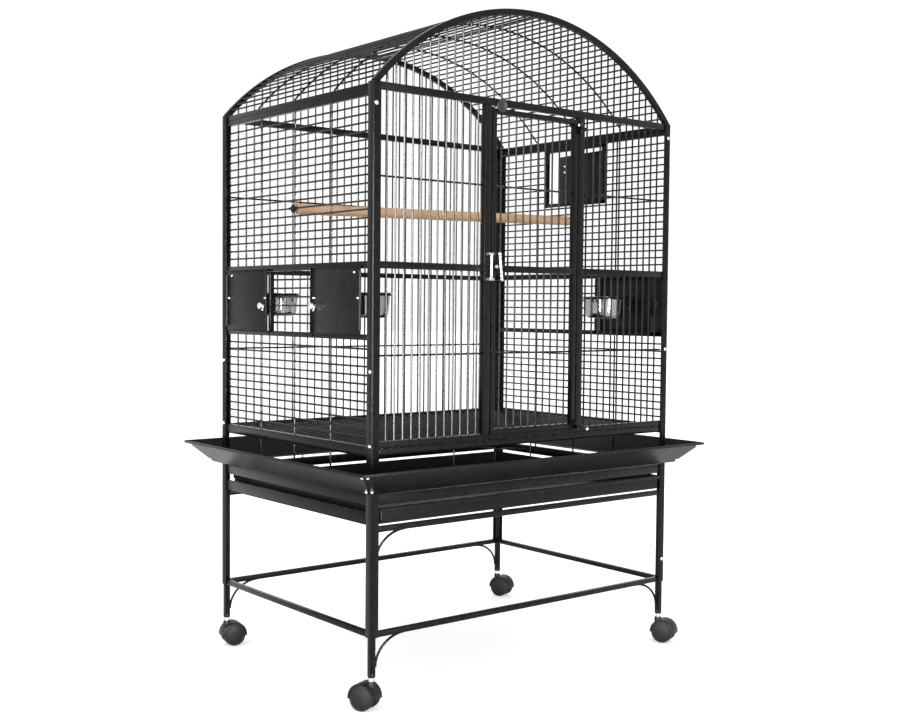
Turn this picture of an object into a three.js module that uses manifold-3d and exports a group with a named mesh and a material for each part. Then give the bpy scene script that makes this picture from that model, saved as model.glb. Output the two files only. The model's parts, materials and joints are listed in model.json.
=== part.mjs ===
// Dome-top parrot cage on a rolling stand. Millimetres, +X right, +Y to the back, +Z up.
// The origin is on the floor, under the centre of the cage.
import * as THREE from 'three';
import { mergeVertices } from 'three/addons/utils/BufferGeometryUtils.js';
import Module from 'manifold-3d';

const wasm = await Module();
wasm.setup();

// ---- overall sizes ----
const CAGE_W = 914;            // over the corner angles, left to right
const CAGE_D = 644;            // over the corner angles, front to back
const SHOULDER_Z = 1313;       // top of the corner angles
const DOME_RISE = 209;         // crown above the shoulders
const CLR = 0.3;               // gap between pieces that meet

// ---- stock ----
const ANGLE_LEG = 20;          // corner angle
const ANGLE_T = 2;
const BAR = 12;                // panel bars and stand rails
const LEG_SQ = BAR + 1;        // stand leg tube
const WIRE = 3.6;              // grille wire
const PIN = 3.2;               // short upright rods under the cage
const SHEET = 1.5;             // seed guards and plates

// ---- heights ----
const LEG_BOTTOM_Z = 71;
const LOW_RAIL_Z = 154;        // underside of the lower stand rails and end of the corner angles
const HIGH_RAIL_Z = 376;       // underside of the upper stand rails
const RUNNER_Z = 391;          // underside of the tray runners
const RUNNER_H = 27;
const BRACE_REACH = 76;        // curved braces under the stand rails
const BRACE_DROP = 64;
const BRACE_SQ = 4.2;
const TRAY_TOP_Z = 428;
const BASE_Z = 433;            // underside of the base bars
const BASE_H = 22;
const BOTTOM_BAR_Z = 534;      // side and back bottom bars
const BOTTOM_BAR_H = 22;
const GRATE_BAR_Z = 537;       // front bar of the pull-out grate
const GRATE_BAR_H = 14;
const SILL_Z = 552;            // front bottom bar, under the door
const SILL_H = 14;
const FEED_LOW_Z = 778;        // bar under the feeder band
const MID_Z = 928;             // bar over the feeder band
const MID_H = 15;
const TOP_BAR_Z = 1297;        // front and back top bars
const SIDE_TOP_Z = SHOULDER_Z - 2 * BAR - 4;   // lower of the two side top bars

// ---- grille spacing ----
const PITCH_X = 22.5;          // upright wires, front and back
const UPPER_ROWS = 18;         // level wires between the mid bar and the top bar
const BAND_ROWS = 6;           // level wires in the feeder band
const LOWER_ROWS = 11;         // level wires under the feeder band
const DOME_PITCH = 21.6;       // along the arc
const DOME_HOOPS = 3;
const DOME_SPLIT = 7.5;        // the crown panel reaches this many pitches from the top
const FRONT_CROSS = [746, 1120];   // centres of the level wires behind the front uprights
const BACK_CROSS = [742, 1114];

// ---- doors ----
const DOOR_W = 264;
const DIVIDER_W = 20;
const DOOR_GAP = 3;
const DOOR_TOP_Z = 1291;
const DOOR_BOTTOM_Z = 568;
const FEED_W = 190;
const FEED_DOOR_Z = 788;
const FEED_DOOR_H = 145;
const FEED_GAP = 5;            // from the jamb bar to the plate's hidden edge
const NEST_W = 232;
const NEST_H = 158;
const NEST_Y = 10;             // centre of the nest opening
const NEST_Z = 1128;
const NEST_AJAR = 8;           // degrees, as it stands

// ---- bowls ----
const BOWL_R = 55;
const BOWL_H = 55;
const BOWL_Z = 824;
const BOWL_IN = 79;            // bowl centre to the side of the cage

// ---- seed guards ----
const GUARD_IN_Z = 461;
const GUARD_OUT_Z = 512;
const GUARD_FOOT = 15;         // outward reach of the level foot
const GUARD_REACH = 67;        // outward reach of the top edge

// ---- casters ----
const WHEEL_R = 27;
const WHEEL_W = 16;
const WHEEL_SIDES = 18;
const CASTER_TRAIL = 16;
const SWIVEL_DEG = { fl: 112, bl: -12, fr: -68, br: -72 };

// ---- worked out from the sizes above ----
const HX = CAGE_W / 2;
const HY = CAGE_D / 2;
const OUT_X = HX - ANGLE_T - CLR;            // outer face of the side bars
const OUT_Y = HY - ANGLE_T - CLR;            // outer face of the front and back bars
const IN_X = OUT_X - BAR;
const IN_Y = OUT_Y - BAR;
const BAR_X = IN_X - 1;                      // half length of front and back bars
const LAST_X = BAR_X - WIRE / 2 - 1;         // outermost place for an upright wire
const BAR_Y = OUT_Y - CLR;                   // half length of side bars
const WIRE_X = OUT_X - BAR / 2;              // plane of the side wires
const WIRE_Y = OUT_Y - BAR / 2;              // plane of the front and back wires
const ARC_R = (HX * HX + DOME_RISE * DOME_RISE) / (2 * DOME_RISE);
const ARC_Z = SHOULDER_Z + DOME_RISE - ARC_R;
const ARC_A = Math.asin(HX / ARC_R);
const ARCH_T = 14;
const DIV_IN = DOOR_W / 2 + DOOR_GAP;
const DIV_OUT = DIV_IN + DIVIDER_W;
const MID_TOP = MID_Z + MID_H;
const WELD = 0.4;                            // how far two crossing wires sink into each other
const PASS = 0.2;                            // gap where they only cross
const SIDE_WIRE_IN = WIRE_X - WIRE + WELD;   // plane of the upright side wires
const UPRIGHTS = [-CAGE_D / 4 + 11, 0, CAGE_D / 4 - 11];
const FRONT_PINS = [-CAGE_W / 4, 0, CAGE_W / 4];
const JAMB = 8;
const WIDE_JAMB = 60;                        // a narrower filling is one solid strip
const FEED_LF = -HY + 35 + FEED_W / 2 + 5;   // feeder door centres along Y
const FEED_LB = HY - 32 - FEED_W / 2;
const FEED_RF = FEED_LF + 10;
const NEST_HINGE_Y = NEST_Y - NEST_W / 2 + 14;
const NEST_HINGE_X = HX + 6;

const root = new THREE.Group();
root.name = 'bird_cage_on_stand';

const FINISH = {
  coat: [0x2b2c2e, 0.25, 0.5],
  plate: [0x343536, 0.2, 0.55],
  steel: [0xc9ccce, 0.95, 0.2],
  chrome: [0xd8dadc, 1.0, 0.12],
  wood: [0xc99a6b, 0.0, 0.7],
  plastic: [0x151516, 0.0, 0.45],
  tread: [0x202021, 0.0, 0.7],
};

function put(name, geometry, finish) {
  const [color, metalness, roughness] = FINISH[finish];
  const mesh = new THREE.Mesh(geometry, new THREE.MeshStandardMaterial({ color, metalness, roughness }));
  mesh.name = name;
  root.add(mesh);
}

// ---- solids ----
function clean(geometry) {
  const g = geometry.clone();
  g.deleteAttribute('normal');
  if (g.getAttribute('uv')) g.deleteAttribute('uv');
  return mergeVertices(g, 1e-4);
}

function solid(geometry) {
  const g = clean(geometry);
  const vertProperties = new Float32Array(g.getAttribute('position').array);
  const triVerts = new Uint32Array(g.getIndex().array);
  return new wasm.Manifold(new wasm.Mesh({ numProp: 3, vertProperties, triVerts }));
}

function back(manifold) {
  const m = manifold.getMesh();
  const flat = new Float32Array(m.triVerts.length * 3);
  m.triVerts.forEach((v, i) => {
    for (let k = 0; k < 3; k += 1) flat[i * 3 + k] = m.vertProperties[v * m.numProp + k];
  });
  const g = new THREE.BufferGeometry();
  g.setAttribute('position', new THREE.BufferAttribute(flat, 3));
  g.computeVertexNormals();
  return g;
}

function join(list, cuts = []) {
  let all = list.map(solid).reduce((a, b) => a.add(b));
  for (const c of cuts) all = all.subtract(solid(c));
  return back(all);
}

function block(x0, x1, y0, y1, z0, z1) {
  const g = new THREE.BoxGeometry(Math.abs(x1 - x0), Math.abs(y1 - y0), Math.abs(z1 - z0));
  g.translate((x0 + x1) / 2, (y0 + y1) / 2, (z0 + z1) / 2);
  return g;
}

// a flat outline in X and Z, given depth along Y
function slabXZ(outline, holes, y0, y1) {
  const shape = new THREE.Shape(outline.map(([x, z]) => new THREE.Vector2(x, z)));
  for (const h of holes) shape.holes.push(new THREE.Path(h.map(([x, z]) => new THREE.Vector2(x, z))));
  const g = new THREE.ExtrudeGeometry(shape, { depth: Math.abs(y1 - y0), bevelEnabled: false });
  g.rotateX(Math.PI / 2);
  g.translate(0, Math.max(y0, y1), 0);
  return g;
}

// a flat outline in X and Y, given height along Z
function slabXY(outline, z0, z1) {
  const shape = new THREE.Shape(outline.map(([x, y]) => new THREE.Vector2(x, y)));
  const g = new THREE.ExtrudeGeometry(shape, { depth: z1 - z0, bevelEnabled: false });
  g.translate(0, 0, z0);
  return g;
}

function lathe(profile, sides) {
  const g = new THREE.LatheGeometry(profile.map(([r, z]) => new THREE.Vector2(r, z)), sides);
  g.rotateX(Math.PI / 2);
  return g;
}

function rod(radius, length, sides) {
  return lathe([[0, -length / 2], [radius, -length / 2], [radius, length / 2], [0, length / 2]], sides);
}

function arcPoint(radius, angle) {
  return [radius * Math.sin(angle), ARC_Z + radius * Math.cos(angle)];
}

function arcPoints(radius, from, to, steps) {
  const out = [];
  for (let i = 0; i <= steps; i += 1) out.push(arcPoint(radius, from + (to - from) * i / steps));
  return out;
}

function uprightX(x, z0, z1, y) {
  const h = WIRE / 2;
  return block(x - h, x + h, y - h, y + h, z0, z1);
}

function gridX(from, to) {
  const out = [];
  for (let x = PITCH_X / 2; x < HX; x += PITCH_X) {
    for (const s of [x, -x]) if (s > from && s < to) out.push(s);
  }
  return out;
}

// ---- corner angles ----
function cornerAngle(sx, sy) {
  const pts = [
    [HX, HY], [HX - ANGLE_LEG, HY], [HX - ANGLE_LEG, HY - ANGLE_T],
    [HX - ANGLE_T, HY - ANGLE_T], [HX - ANGLE_T, HY - ANGLE_LEG], [HX, HY - ANGLE_LEG],
  ].map(([x, y]) => [x * sx, y * sy]);
  if (sx * sy < 0) pts.reverse();
  return slabXY(pts, LOW_RAIL_Z, SHOULDER_Z - CLR);
}

// ---- stand ----
// a thin quarter-round brace from a leg up to the underside of a rail; e is the end it stands at
function brace(legX, e, y, z) {
  const curve = new THREE.EllipseCurve(0, 0, BRACE_REACH, BRACE_DROP, 0, Math.PI / 2).getPoints(6);
  const path = new THREE.CatmullRomCurve3(curve.map((p) => (
    new THREE.Vector3(e * (legX - BRACE_REACH + p.x), y, z - BRACE_DROP + p.y))));
  const h = BRACE_SQ / 2;
  const shape = new THREE.Shape([
    new THREE.Vector2(-h, -h), new THREE.Vector2(h, -h), new THREE.Vector2(h, h), new THREE.Vector2(-h, h),
  ]);
  return new THREE.ExtrudeGeometry(shape, { steps: 9, bevelEnabled: false, extrudePath: path });
}

function standSide(s) {
  const legX0 = OUT_X - LEG_SQ;
  const parts = [];
  for (const e of [-1, 1]) {
    parts.push(block(s * legX0, s * OUT_X, e * (OUT_Y - LEG_SQ), e * OUT_Y, LEG_BOTTOM_Z, BASE_Z + BASE_H));
  }
  const y = OUT_Y - LEG_SQ + 2;
  parts.push(block(s * IN_X, s * OUT_X, -y, y, LOW_RAIL_Z, LOW_RAIL_Z + BAR));
  parts.push(block(s * (OUT_X - 2), s * OUT_X, -y, y, RUNNER_Z, RUNNER_Z + RUNNER_H));
  parts.push(block(s * (OUT_X - 34), s * OUT_X, -y + 3, y - 3, RUNNER_Z, RUNNER_Z + 2));
  return join(parts);
}

function standRail(sy, z, braced) {
  const x = OUT_X - LEG_SQ - CLR;
  const parts = [block(-x, x, sy * IN_Y, sy * OUT_Y, z, z + BAR)];
  for (const e of braced) parts.push(brace(x - BRACE_SQ / 2, e, sy * (OUT_Y - BAR / 2), z + 1));
  return join(parts);
}

// ---- base bars with the short upright rods that carry the grate ----
function baseBar(sy) {
  const top = sy < 0 ? GRATE_BAR_Z : BOTTOM_BAR_Z;
  const parts = [block(-BAR_X, BAR_X, sy * IN_Y, sy * OUT_Y, BASE_Z, BASE_Z + BASE_H)];
  for (const x of FRONT_PINS) {
    parts.push(block(x - PIN / 2, x + PIN / 2, sy * (WIRE_Y - 4), sy * (WIRE_Y - 4 + PIN), BASE_Z + 4, top - CLR));
  }
  return join(parts);
}

// ---- side grilles ----
function sideBar(s, z, h, y0 = -BAR_Y, y1 = BAR_Y) {
  return block(s * IN_X, s * OUT_X, y0, y1, z, z + h);
}

function levelWire(s, z, y0, y1) {
  const h = WIRE / 2;
  return block(s * (WIRE_X - h), s * (WIRE_X + h), y0, y1, z - h, z + h);
}

// the middle upright is welded to every level wire, and the outer two are held by the bars
function sideUpright(s, y, z0, z1) {
  const h = WIRE / 2;
  const x = y === 0 ? SIDE_WIRE_IN : SIDE_WIRE_IN - WELD - PASS;
  return block(s * (x - h), s * (x + h), y - h, y + h, z0, z1);
}

function sideUpper(s, nest) {
  const parts = [sideBar(s, MID_Z, MID_H), sideBar(s, SIDE_TOP_Z, BAR), sideBar(s, SIDE_TOP_Z + BAR - 0.2, BAR + 1.2)];
  const step = (SIDE_TOP_Z - MID_TOP) / (UPPER_ROWS + 1);
  const n0 = NEST_Y - NEST_W / 2;
  const n1 = NEST_Y + NEST_W / 2;
  const nestZ1 = NEST_Z + NEST_H;
  for (let i = 1; i <= UPPER_ROWS; i += 1) {
    const z = MID_TOP + i * step;
    if (nest && z > NEST_Z) {
      parts.push(levelWire(s, z, -BAR_Y, n0 + 5), levelWire(s, z, n1 - 5, BAR_Y));
    } else {
      parts.push(levelWire(s, z, -BAR_Y, BAR_Y));
    }
  }
  for (const y of UPRIGHTS) {
    const inside = nest && y > n0 && y < n1;
    parts.push(sideUpright(s, y, MID_Z + 5, inside ? NEST_Z + 5 : SIDE_TOP_Z + 5));
  }
  if (nest) {
    const x0 = s * (IN_X + 1.5);
    const x1 = s * OUT_X;
    parts.push(block(x0, x1, n0, n0 + 12, NEST_Z, nestZ1 + 2), block(x0, x1, n1 - 12, n1, NEST_Z, nestZ1 + 2));
    parts.push(block(x0, x1, n0, n1, NEST_Z, NEST_Z + 10));
    parts.push(block(x0, x1, n0, n1, nestZ1 - 8, nestZ1 + 2));
  }
  return join(parts);
}

// band between two bars; each opening is a pair of limits along Y that stays clear for a feeder door
function sideBand(s, openings) {
  const parts = [sideBar(s, FEED_LOW_Z, BAR)];
  const top = MID_Z - CLR;
  const step = (MID_Z - FEED_LOW_Z - BAR) / (BAND_ROWS + 1);
  let y0 = -BAR_Y;
  const fills = [];
  for (const [a, b] of openings) {
    if (a > y0) fills.push([y0, a]);
    y0 = b;
  }
  if (y0 < BAR_Y) fills.push([y0, BAR_Y]);
  for (const [a, b] of fills) {
    if (b - a < WIDE_JAMB) {
      parts.push(block(s * IN_X, s * OUT_X, a, b, FEED_LOW_Z + 2, top));
      continue;
    }
    for (const y of [a, b - JAMB]) {
      parts.push(block(s * IN_X, s * OUT_X, y, y + JAMB, FEED_LOW_Z + 2, top));
    }
    for (let i = 1; i <= BAND_ROWS; i += 1) {
      parts.push(levelWire(s, FEED_LOW_Z + BAR + i * step, a + 2, b - 2));
    }
  }
  return join(parts);
}

function sideLower(s) {
  const low = BOTTOM_BAR_Z + BOTTOM_BAR_H;
  const parts = [sideBar(s, BOTTOM_BAR_Z, BOTTOM_BAR_H)];
  const baseY = OUT_Y - LEG_SQ - CLR;
  parts.push(sideBar(s, BASE_Z, BASE_H, -baseY, baseY));
  const step = (FEED_LOW_Z - low) / (LOWER_ROWS + 1);
  for (let i = 1; i <= LOWER_ROWS; i += 1) parts.push(levelWire(s, low + i * step, -BAR_Y, BAR_Y));
  for (const y of UPRIGHTS) parts.push(sideUpright(s, y, BASE_Z + 5, FEED_LOW_Z - CLR));
  return join(parts);
}

// ---- front and back ----
const CROSS_Y = WIRE_Y - WIRE - PASS;

function crossWire(x0, x1, y, z) {
  const h = WIRE / 2;
  return block(x0, x1, y - h, y + h, z - h, z + h);
}

function frontWing(s) {
  const z0 = SILL_Z + SILL_H + CLR;
  const z1 = TOP_BAR_Z - CLR;
  const parts = [
    block(s * DIV_IN, s * DIV_OUT, -OUT_Y - 1.5, -IN_Y, z0, z1),
    block(s * (DIV_OUT - 2), s * BAR_X, -OUT_Y, -IN_Y, MID_Z, MID_TOP),
  ];
  for (const x of gridX(DIV_OUT, HX - ANGLE_LEG)) parts.push(uprightX(s * x, z0, z1, -WIRE_Y));
  for (const z of FRONT_CROSS) parts.push(crossWire(s * (DIV_OUT - 2), s * BAR_X, -CROSS_Y, z));
  if (s > 0) {
    for (const z of [DOOR_BOTTOM_Z + 12, DOOR_TOP_Z - 14]) parts.push(hingeLug(z - 8));
  }
  return join(parts, s > 0 ? [hingeBore()] : []);
}

const HINGE_X = DOOR_W / 2 + 5;
const HINGE_Y = -HY - 6;
const HINGE_R = 2.5;

function hingeLug(z) {
  return block(HINGE_X - 4.5, DIV_OUT - 4, HINGE_Y - 4.5, -OUT_Y, z - 4, z + 4);
}

function hingeBore() {
  const g = rod(HINGE_R + 0.4, DOOR_TOP_Z - DOOR_BOTTOM_Z + 60, 8);
  g.translate(HINGE_X, HINGE_Y, (DOOR_TOP_Z + DOOR_BOTTOM_Z) / 2);
  return g;
}

function backPanel() {
  const z0 = BOTTOM_BAR_Z;
  const parts = [
    block(-BAR_X, BAR_X, IN_Y, OUT_Y, z0, z0 + BOTTOM_BAR_H),
    block(-BAR_X, BAR_X, IN_Y, OUT_Y, MID_Z - 2, MID_TOP - 4),
  ];
  for (const x of gridX(-LAST_X, LAST_X - 1)) parts.push(uprightX(x, z0 + 5, TOP_BAR_Z - CLR, WIRE_Y));
  for (const z of BACK_CROSS) {
    parts.push(crossWire(-BAR_X, BAR_X, CROSS_Y, z));
    for (let i = -18; i <= 18; i += 9) {
      const x = (i + 0.5) * PITCH_X;
      parts.push(block(x - 1.4, x + 1.4, CROSS_Y, CROSS_Y + WIRE, z - 1.4, z + 1.4));
    }
  }
  return join(parts);
}

// arch tube, top bar and the upright wires between them, as one flat welded panel
function archPanel(sy) {
  const outer = arcPoints(ARC_R, ARC_A, -ARC_A, 32);
  const holeA = Math.acos((SHOULDER_Z + 7 - ARC_Z) / (ARC_R - ARCH_T));
  const inner = arcPoints(ARC_R - ARCH_T, -holeA, holeA, 28);
  const holeX = inner[0][0];
  const outline = [
    [-BAR_X, TOP_BAR_Z], [BAR_X, TOP_BAR_Z], [BAR_X, SHOULDER_Z], ...outer, [-BAR_X, SHOULDER_Z],
  ];
  const chordTop = SHOULDER_Z - 1;
  const hole = [[holeX, chordTop], ...inner, [-holeX, chordTop]];
  const parts = [slabXZ(outline, [hole], sy * IN_Y, sy * OUT_Y)];
  for (const x of gridX(-LAST_X, LAST_X - 1)) {
    const top = ARC_Z + Math.sqrt((ARC_R - 7) ** 2 - x * x);
    parts.push(uprightX(x, SHOULDER_Z - 6, top, sy * WIRE_Y));
  }
  return join(parts);
}

// ---- dome: three curved panels, each with level wires over three hoops ----
const DOME_OUT = ARC_R - 2;
const DOME_LAST = Math.floor((ARC_A * ARC_R) / DOME_PITCH - 0.3);
const DOME_END = ARC_A - 0.011;              // hoops stop short of the side bars
const STEP_A = DOME_PITCH / ARC_R;
const HOOP_SAG = 0.6 * WELD;                  // a hoop's flats stay inside its welds

function overArc(g, steps) {
  g.rotateY(steps * STEP_A);
  g.translate(0, 0, ARC_Z);
  return g;
}

// from and to are counted in pitches from the crown, left to right
function domeGrille(from, to) {
  const y = IN_Y - CLR;
  const parts = [];
  const wires = [];
  for (let i = -DOME_LAST; i <= DOME_LAST; i += 1) if (i > from && i < to) wires.push(i);
  for (const i of wires) parts.push(overArc(block(-WIRE / 2, WIRE / 2, -y, y, DOME_OUT - WIRE, DOME_OUT), i));
  const a0 = Math.max(-DOME_END, from * STEP_A + CLR / ARC_R);
  const a1 = Math.min(DOME_END, to * STEP_A - CLR / ARC_R);
  for (let j = 0; j < DOME_HOOPS; j += 1) {
    const row = j - (DOME_HOOPS - 1) / 2;
    const yc = row * CAGE_D / (DOME_HOOPS + 1);
    const r = DOME_OUT - WIRE + (row === 0 ? WELD : -PASS);
    const steps = Math.ceil((a1 - a0) / (2 * Math.acos(1 - HOOP_SAG / r)));
    const hoop = [...arcPoints(r, a1, a0, steps), ...arcPoints(r - WIRE, a0, a1, steps)];
    parts.push(slabXZ(hoop, [], yc - WIRE / 2, yc + WIRE / 2));
    for (const i of row === 0 ? [] : wires.filter((w, n) => n % 6 === 1)) {
      parts.push(overArc(block(-1.4, 1.4, yc - 1.4, yc + 1.4, r - 1.5, DOME_OUT - 1), i));
    }
  }
  return join(parts);
}

// ---- main door ----
function mainDoor() {
  const x = DOOR_W / 2;
  const y0 = -OUT_Y - 1.5;
  const y1 = -IN_Y;
  const z0 = DOOR_BOTTOM_Z;
  const z1 = DOOR_TOP_Z;
  const parts = [
    block(-x, -x + BAR, y0, y1, z0, z1), block(x - BAR, x, y0, y1, z0, z1),
    block(-x, x, y0, y1, z0, z0 + BAR), block(-x, x, y0, y1, z1 - BAR, z1),
    block(-x + 2, x - 2, y0 + 1, y1, MID_Z, MID_TOP),
  ];
  for (const w of gridX(-x + BAR, x - BAR)) parts.push(uprightX(w, z0 + 5, z1 - 5, -WIRE_Y));
  for (const z of FRONT_CROSS) parts.push(crossWire(-x + 4, x - 4, -CROSS_Y, z));
  for (const z of [z0 + 12, z1 - 14]) {
    const pin = rod(HINGE_R, 20, 8);
    pin.translate(HINGE_X, HINGE_Y, z - 6);
    parts.push(pin, block(x - BAR + 2, x, HINGE_Y - 2.5, y0 + 2, z - 3, z + 3));
    parts.push(block(x - 2, HINGE_X + 2, HINGE_Y - 2.5, HINGE_Y + 2.5, z - 3, z + 3));
  }
  const disc = rod(15, 3, 20);
  disc.rotateX(Math.PI / 2);
  disc.translate(LATCH_X, y0 - 1.4, LATCH_Z);
  parts.push(disc);
  return join(parts);
}

const LATCH_X = -DOOR_W / 2 + 12;
const LATCH_Z = 939;
const LATCH_Y = -OUT_Y - 1.5 - 3.2;          // front of the round latch plate

function latchHandle() {
  const hub = rod(5, 16, 12);
  hub.rotateX(Math.PI / 2);
  hub.translate(LATCH_X, LATCH_Y - 8, LATCH_Z);
  const y0 = LATCH_Y - 5;
  return join([
    hub,
    block(LATCH_X - 3, LATCH_X + 3, LATCH_Y - 19, LATCH_Y - 14.5, LATCH_Z - 31, LATCH_Z + 31),
    block(LATCH_X - 17, LATCH_X, y0, y0 + 2.6, LATCH_Z - 3, LATCH_Z + 3),
  ]);
}

function latchKeeper() {
  const xm = -DIV_IN - 9;
  const yf = -OUT_Y - 1.5 - CLR;
  const post = rod(2.6, 56, 10);
  post.translate(xm, LATCH_Y - 9.5, LATCH_Z);
  return join([
    post,
    block(xm - 4.5, xm + 4.5, LATCH_Y - 13, yf, LATCH_Z + 24, LATCH_Z + 31),
    block(xm - 4.5, xm + 4.5, LATCH_Y - 13, yf, LATCH_Z - 31, LATCH_Z - 24),
    block(xm - 4.5, xm + 4.5, yf - 1.5, yf, LATCH_Z - 31, LATCH_Z + 31),
  ]);
}

// a round stop on the door's upper corner that overlaps the top bar, so the door can't swing in
const STOP_X = -108;
const STOP_Z = DOOR_TOP_Z + 6;

function doorStop() {
  const disc = rod(15, 3, 24);
  disc.rotateX(Math.PI / 2);
  disc.translate(STOP_X, -OUT_Y - 3.6, STOP_Z);
  const face = -OUT_Y - 1.5 - CLR;
  return join([disc, block(STOP_X - 4, STOP_X + 4, face - 2, face, STOP_Z - 14, STOP_Z - 8)]);
}

// ---- feeders ----
const PLATE_X = HX + 1;                      // inner face of a feeder plate

function feederDoor(s, yc, hingeEnd) {
  const y0 = yc - FEED_W / 2;
  const y1 = yc + FEED_W / 2;
  const z1 = FEED_DOOR_Z + FEED_DOOR_H;
  const xo = PLATE_X + SHEET;
  const parts = [block(s * PLATE_X, s * xo, y0, y1, FEED_DOOR_Z, z1)];
  const free = hingeEnd < 0 ? y1 : y0;
  parts.push(block(s * PLATE_X, s * (xo + 4), free - 0.8, free + 0.8, FEED_DOOR_Z, z1));
  parts.push(block(s * PLATE_X, s * (xo + 4), y0, y1, z1 - 1.2, z1));
  const barrel = rod(3, FEED_DOOR_H - 20, 8);
  barrel.translate(s * (PLATE_X + 3), hingeEnd < 0 ? y0 : y1, (FEED_DOOR_Z + z1) / 2);
  parts.push(barrel);
  return join(parts);
}

function feederKnob(s, yc, hingeEnd) {
  const knob = lathe([[0, 0], [3, 0], [3, 6], [8, 7], [8, 13], [6, 15], [0, 15]], 12);
  const tab = block(-11, 0, -3, 3, 2, 5);
  const g = join([knob, tab]);
  g.rotateY(s * Math.PI / 2);
  const y = yc - hingeEnd * (FEED_W / 2 - 14);
  g.translate(s * (PLATE_X + SHEET + CLR), y, BOWL_Z + 24);
  return g;
}

function bowlRing(s, yc) {
  const xc = s * (HX - BOWL_IN);
  const zTop = BOWL_Z + BOWL_H - 3 - CLR;
  const ring = lathe([[BOWL_R - 2.5, 0], [BOWL_R + 1.5, 0], [BOWL_R + 1.5, 4], [BOWL_R - 2.5, 4], [BOWL_R - 2.5, 0]], 24);
  ring.translate(xc, yc, zTop - 4);
  const strapX = PLATE_X - CLR;
  const parts = [ring, block(s * (strapX - 2), s * strapX, yc - 84, yc + 84, zTop - 12, zTop)];
  for (const e of [-1, 1]) {
    parts.push(block(xc + s * 40, s * (strapX - 1), yc + e * 38 - 2, yc + e * 38 + 2, zTop - 4, zTop));
  }
  return join(parts);
}

function bowl(s, yc) {
  const r = BOWL_R;
  const g = lathe([
    [0, 0], [r - 13, 0], [r - 7, 8], [r - 3.2, BOWL_H - 3], [r + 3, BOWL_H - 3], [r + 3, BOWL_H],
    [r - 4.4, BOWL_H], [r - 8.4, 9], [r - 13.6, 1.4], [0, 1.4],
  ], 20);
  g.translate(s * (HX - BOWL_IN), yc, BOWL_Z);
  return g;
}

// ---- nest door, hinged at its front edge and standing a little open ----
function nestDoor() {
  const w = NEST_W - 24;
  const h = NEST_H - 22;
  const parts = [
    block(0, SHEET, 0, w, 0, h), block(0, 6, w - 1.5, w, 0, h), block(0, 6, 0, w, h - 1.5, h), block(0, 6, 0, w, 0, 1.5),
  ];
  const barrel = rod(3, h - 16, 8);
  barrel.translate(0, 0, h / 2);
  parts.push(barrel);
  const g = join(parts);
  g.rotateZ(-NEST_AJAR * Math.PI / 180);
  g.translate(NEST_HINGE_X, NEST_HINGE_Y, NEST_Z + 8);
  return g;
}

// ---- perch ----
const PERCH_R = 12.5;
const PERCH_L = [-SIDE_WIRE_IN + WIRE / 2 + 0.6, -2, 1068];
const PERCH_RT = [SIDE_WIRE_IN - WIRE / 2 - 0.6, 26, 1087];

function perch() {
  const a = new THREE.Vector3(...PERCH_L);
  const b = new THREE.Vector3(...PERCH_RT);
  const g = rod(PERCH_R, a.distanceTo(b) - 1.2, 16);
  const dir = b.clone().sub(a).normalize();
  g.applyQuaternion(new THREE.Quaternion().setFromUnitVectors(new THREE.Vector3(0, 0, 1), dir));
  const mid = a.add(b).multiplyScalar(0.5);
  g.translate(mid.x, mid.y, mid.z);
  return g;
}

// ---- pull-out floor ----
function grate() {
  const x = HX - ANGLE_LEG - 1;                // passes between the front angles
  const yBack = IN_Y - 2;
  const zw = GRATE_BAR_Z + 8;
  const parts = [
    block(-x, x, -OUT_Y, -OUT_Y + 5, GRATE_BAR_Z, GRATE_BAR_Z + GRATE_BAR_H),
    block(-x, x, yBack - 5, yBack, zw - 5, zw + 5),
  ];
  for (const e of [-1, 1]) parts.push(block(e * (x - 5), e * x, -OUT_Y + 1, yBack - 1, zw - 5, zw + 5));
  for (const w of gridX(-x + 4, x - 4)) {
    parts.push(block(w - WIRE / 2, w + WIRE / 2, -OUT_Y + 2, yBack - 2, zw, zw + WIRE));
  }
  const zc = zw - PASS;
  for (const y of UPRIGHTS) parts.push(block(-x + 2, x - 2, y - WIRE / 2, y + WIRE / 2, zc - WIRE, zc));
  return join(parts);
}

function tray() {
  const x = HX - ANGLE_LEG - 5;
  const yFront = -OUT_Y;
  const yBack = IN_Y - 1;
  const z0 = RUNNER_Z + 2 + CLR;
  const zt = TRAY_TOP_Z;
  const t = SHEET;
  return join([
    block(-x, x, yFront, yBack, z0, zt - 1),
    block(-x - 4, -x + 0.7, yFront + 18, yBack - 4, zt - 8, zt),
    block(x - 0.7, x + 4, yFront + 18, yBack - 4, zt - 8, zt),
    block(-x - 4, x + 4, yFront - 3, yFront + 0.7, zt - 9, zt),
  ], [block(-x + t, x - t, yFront + t, yBack - t, z0 + 1.2, zt + 5)]);
}

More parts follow.
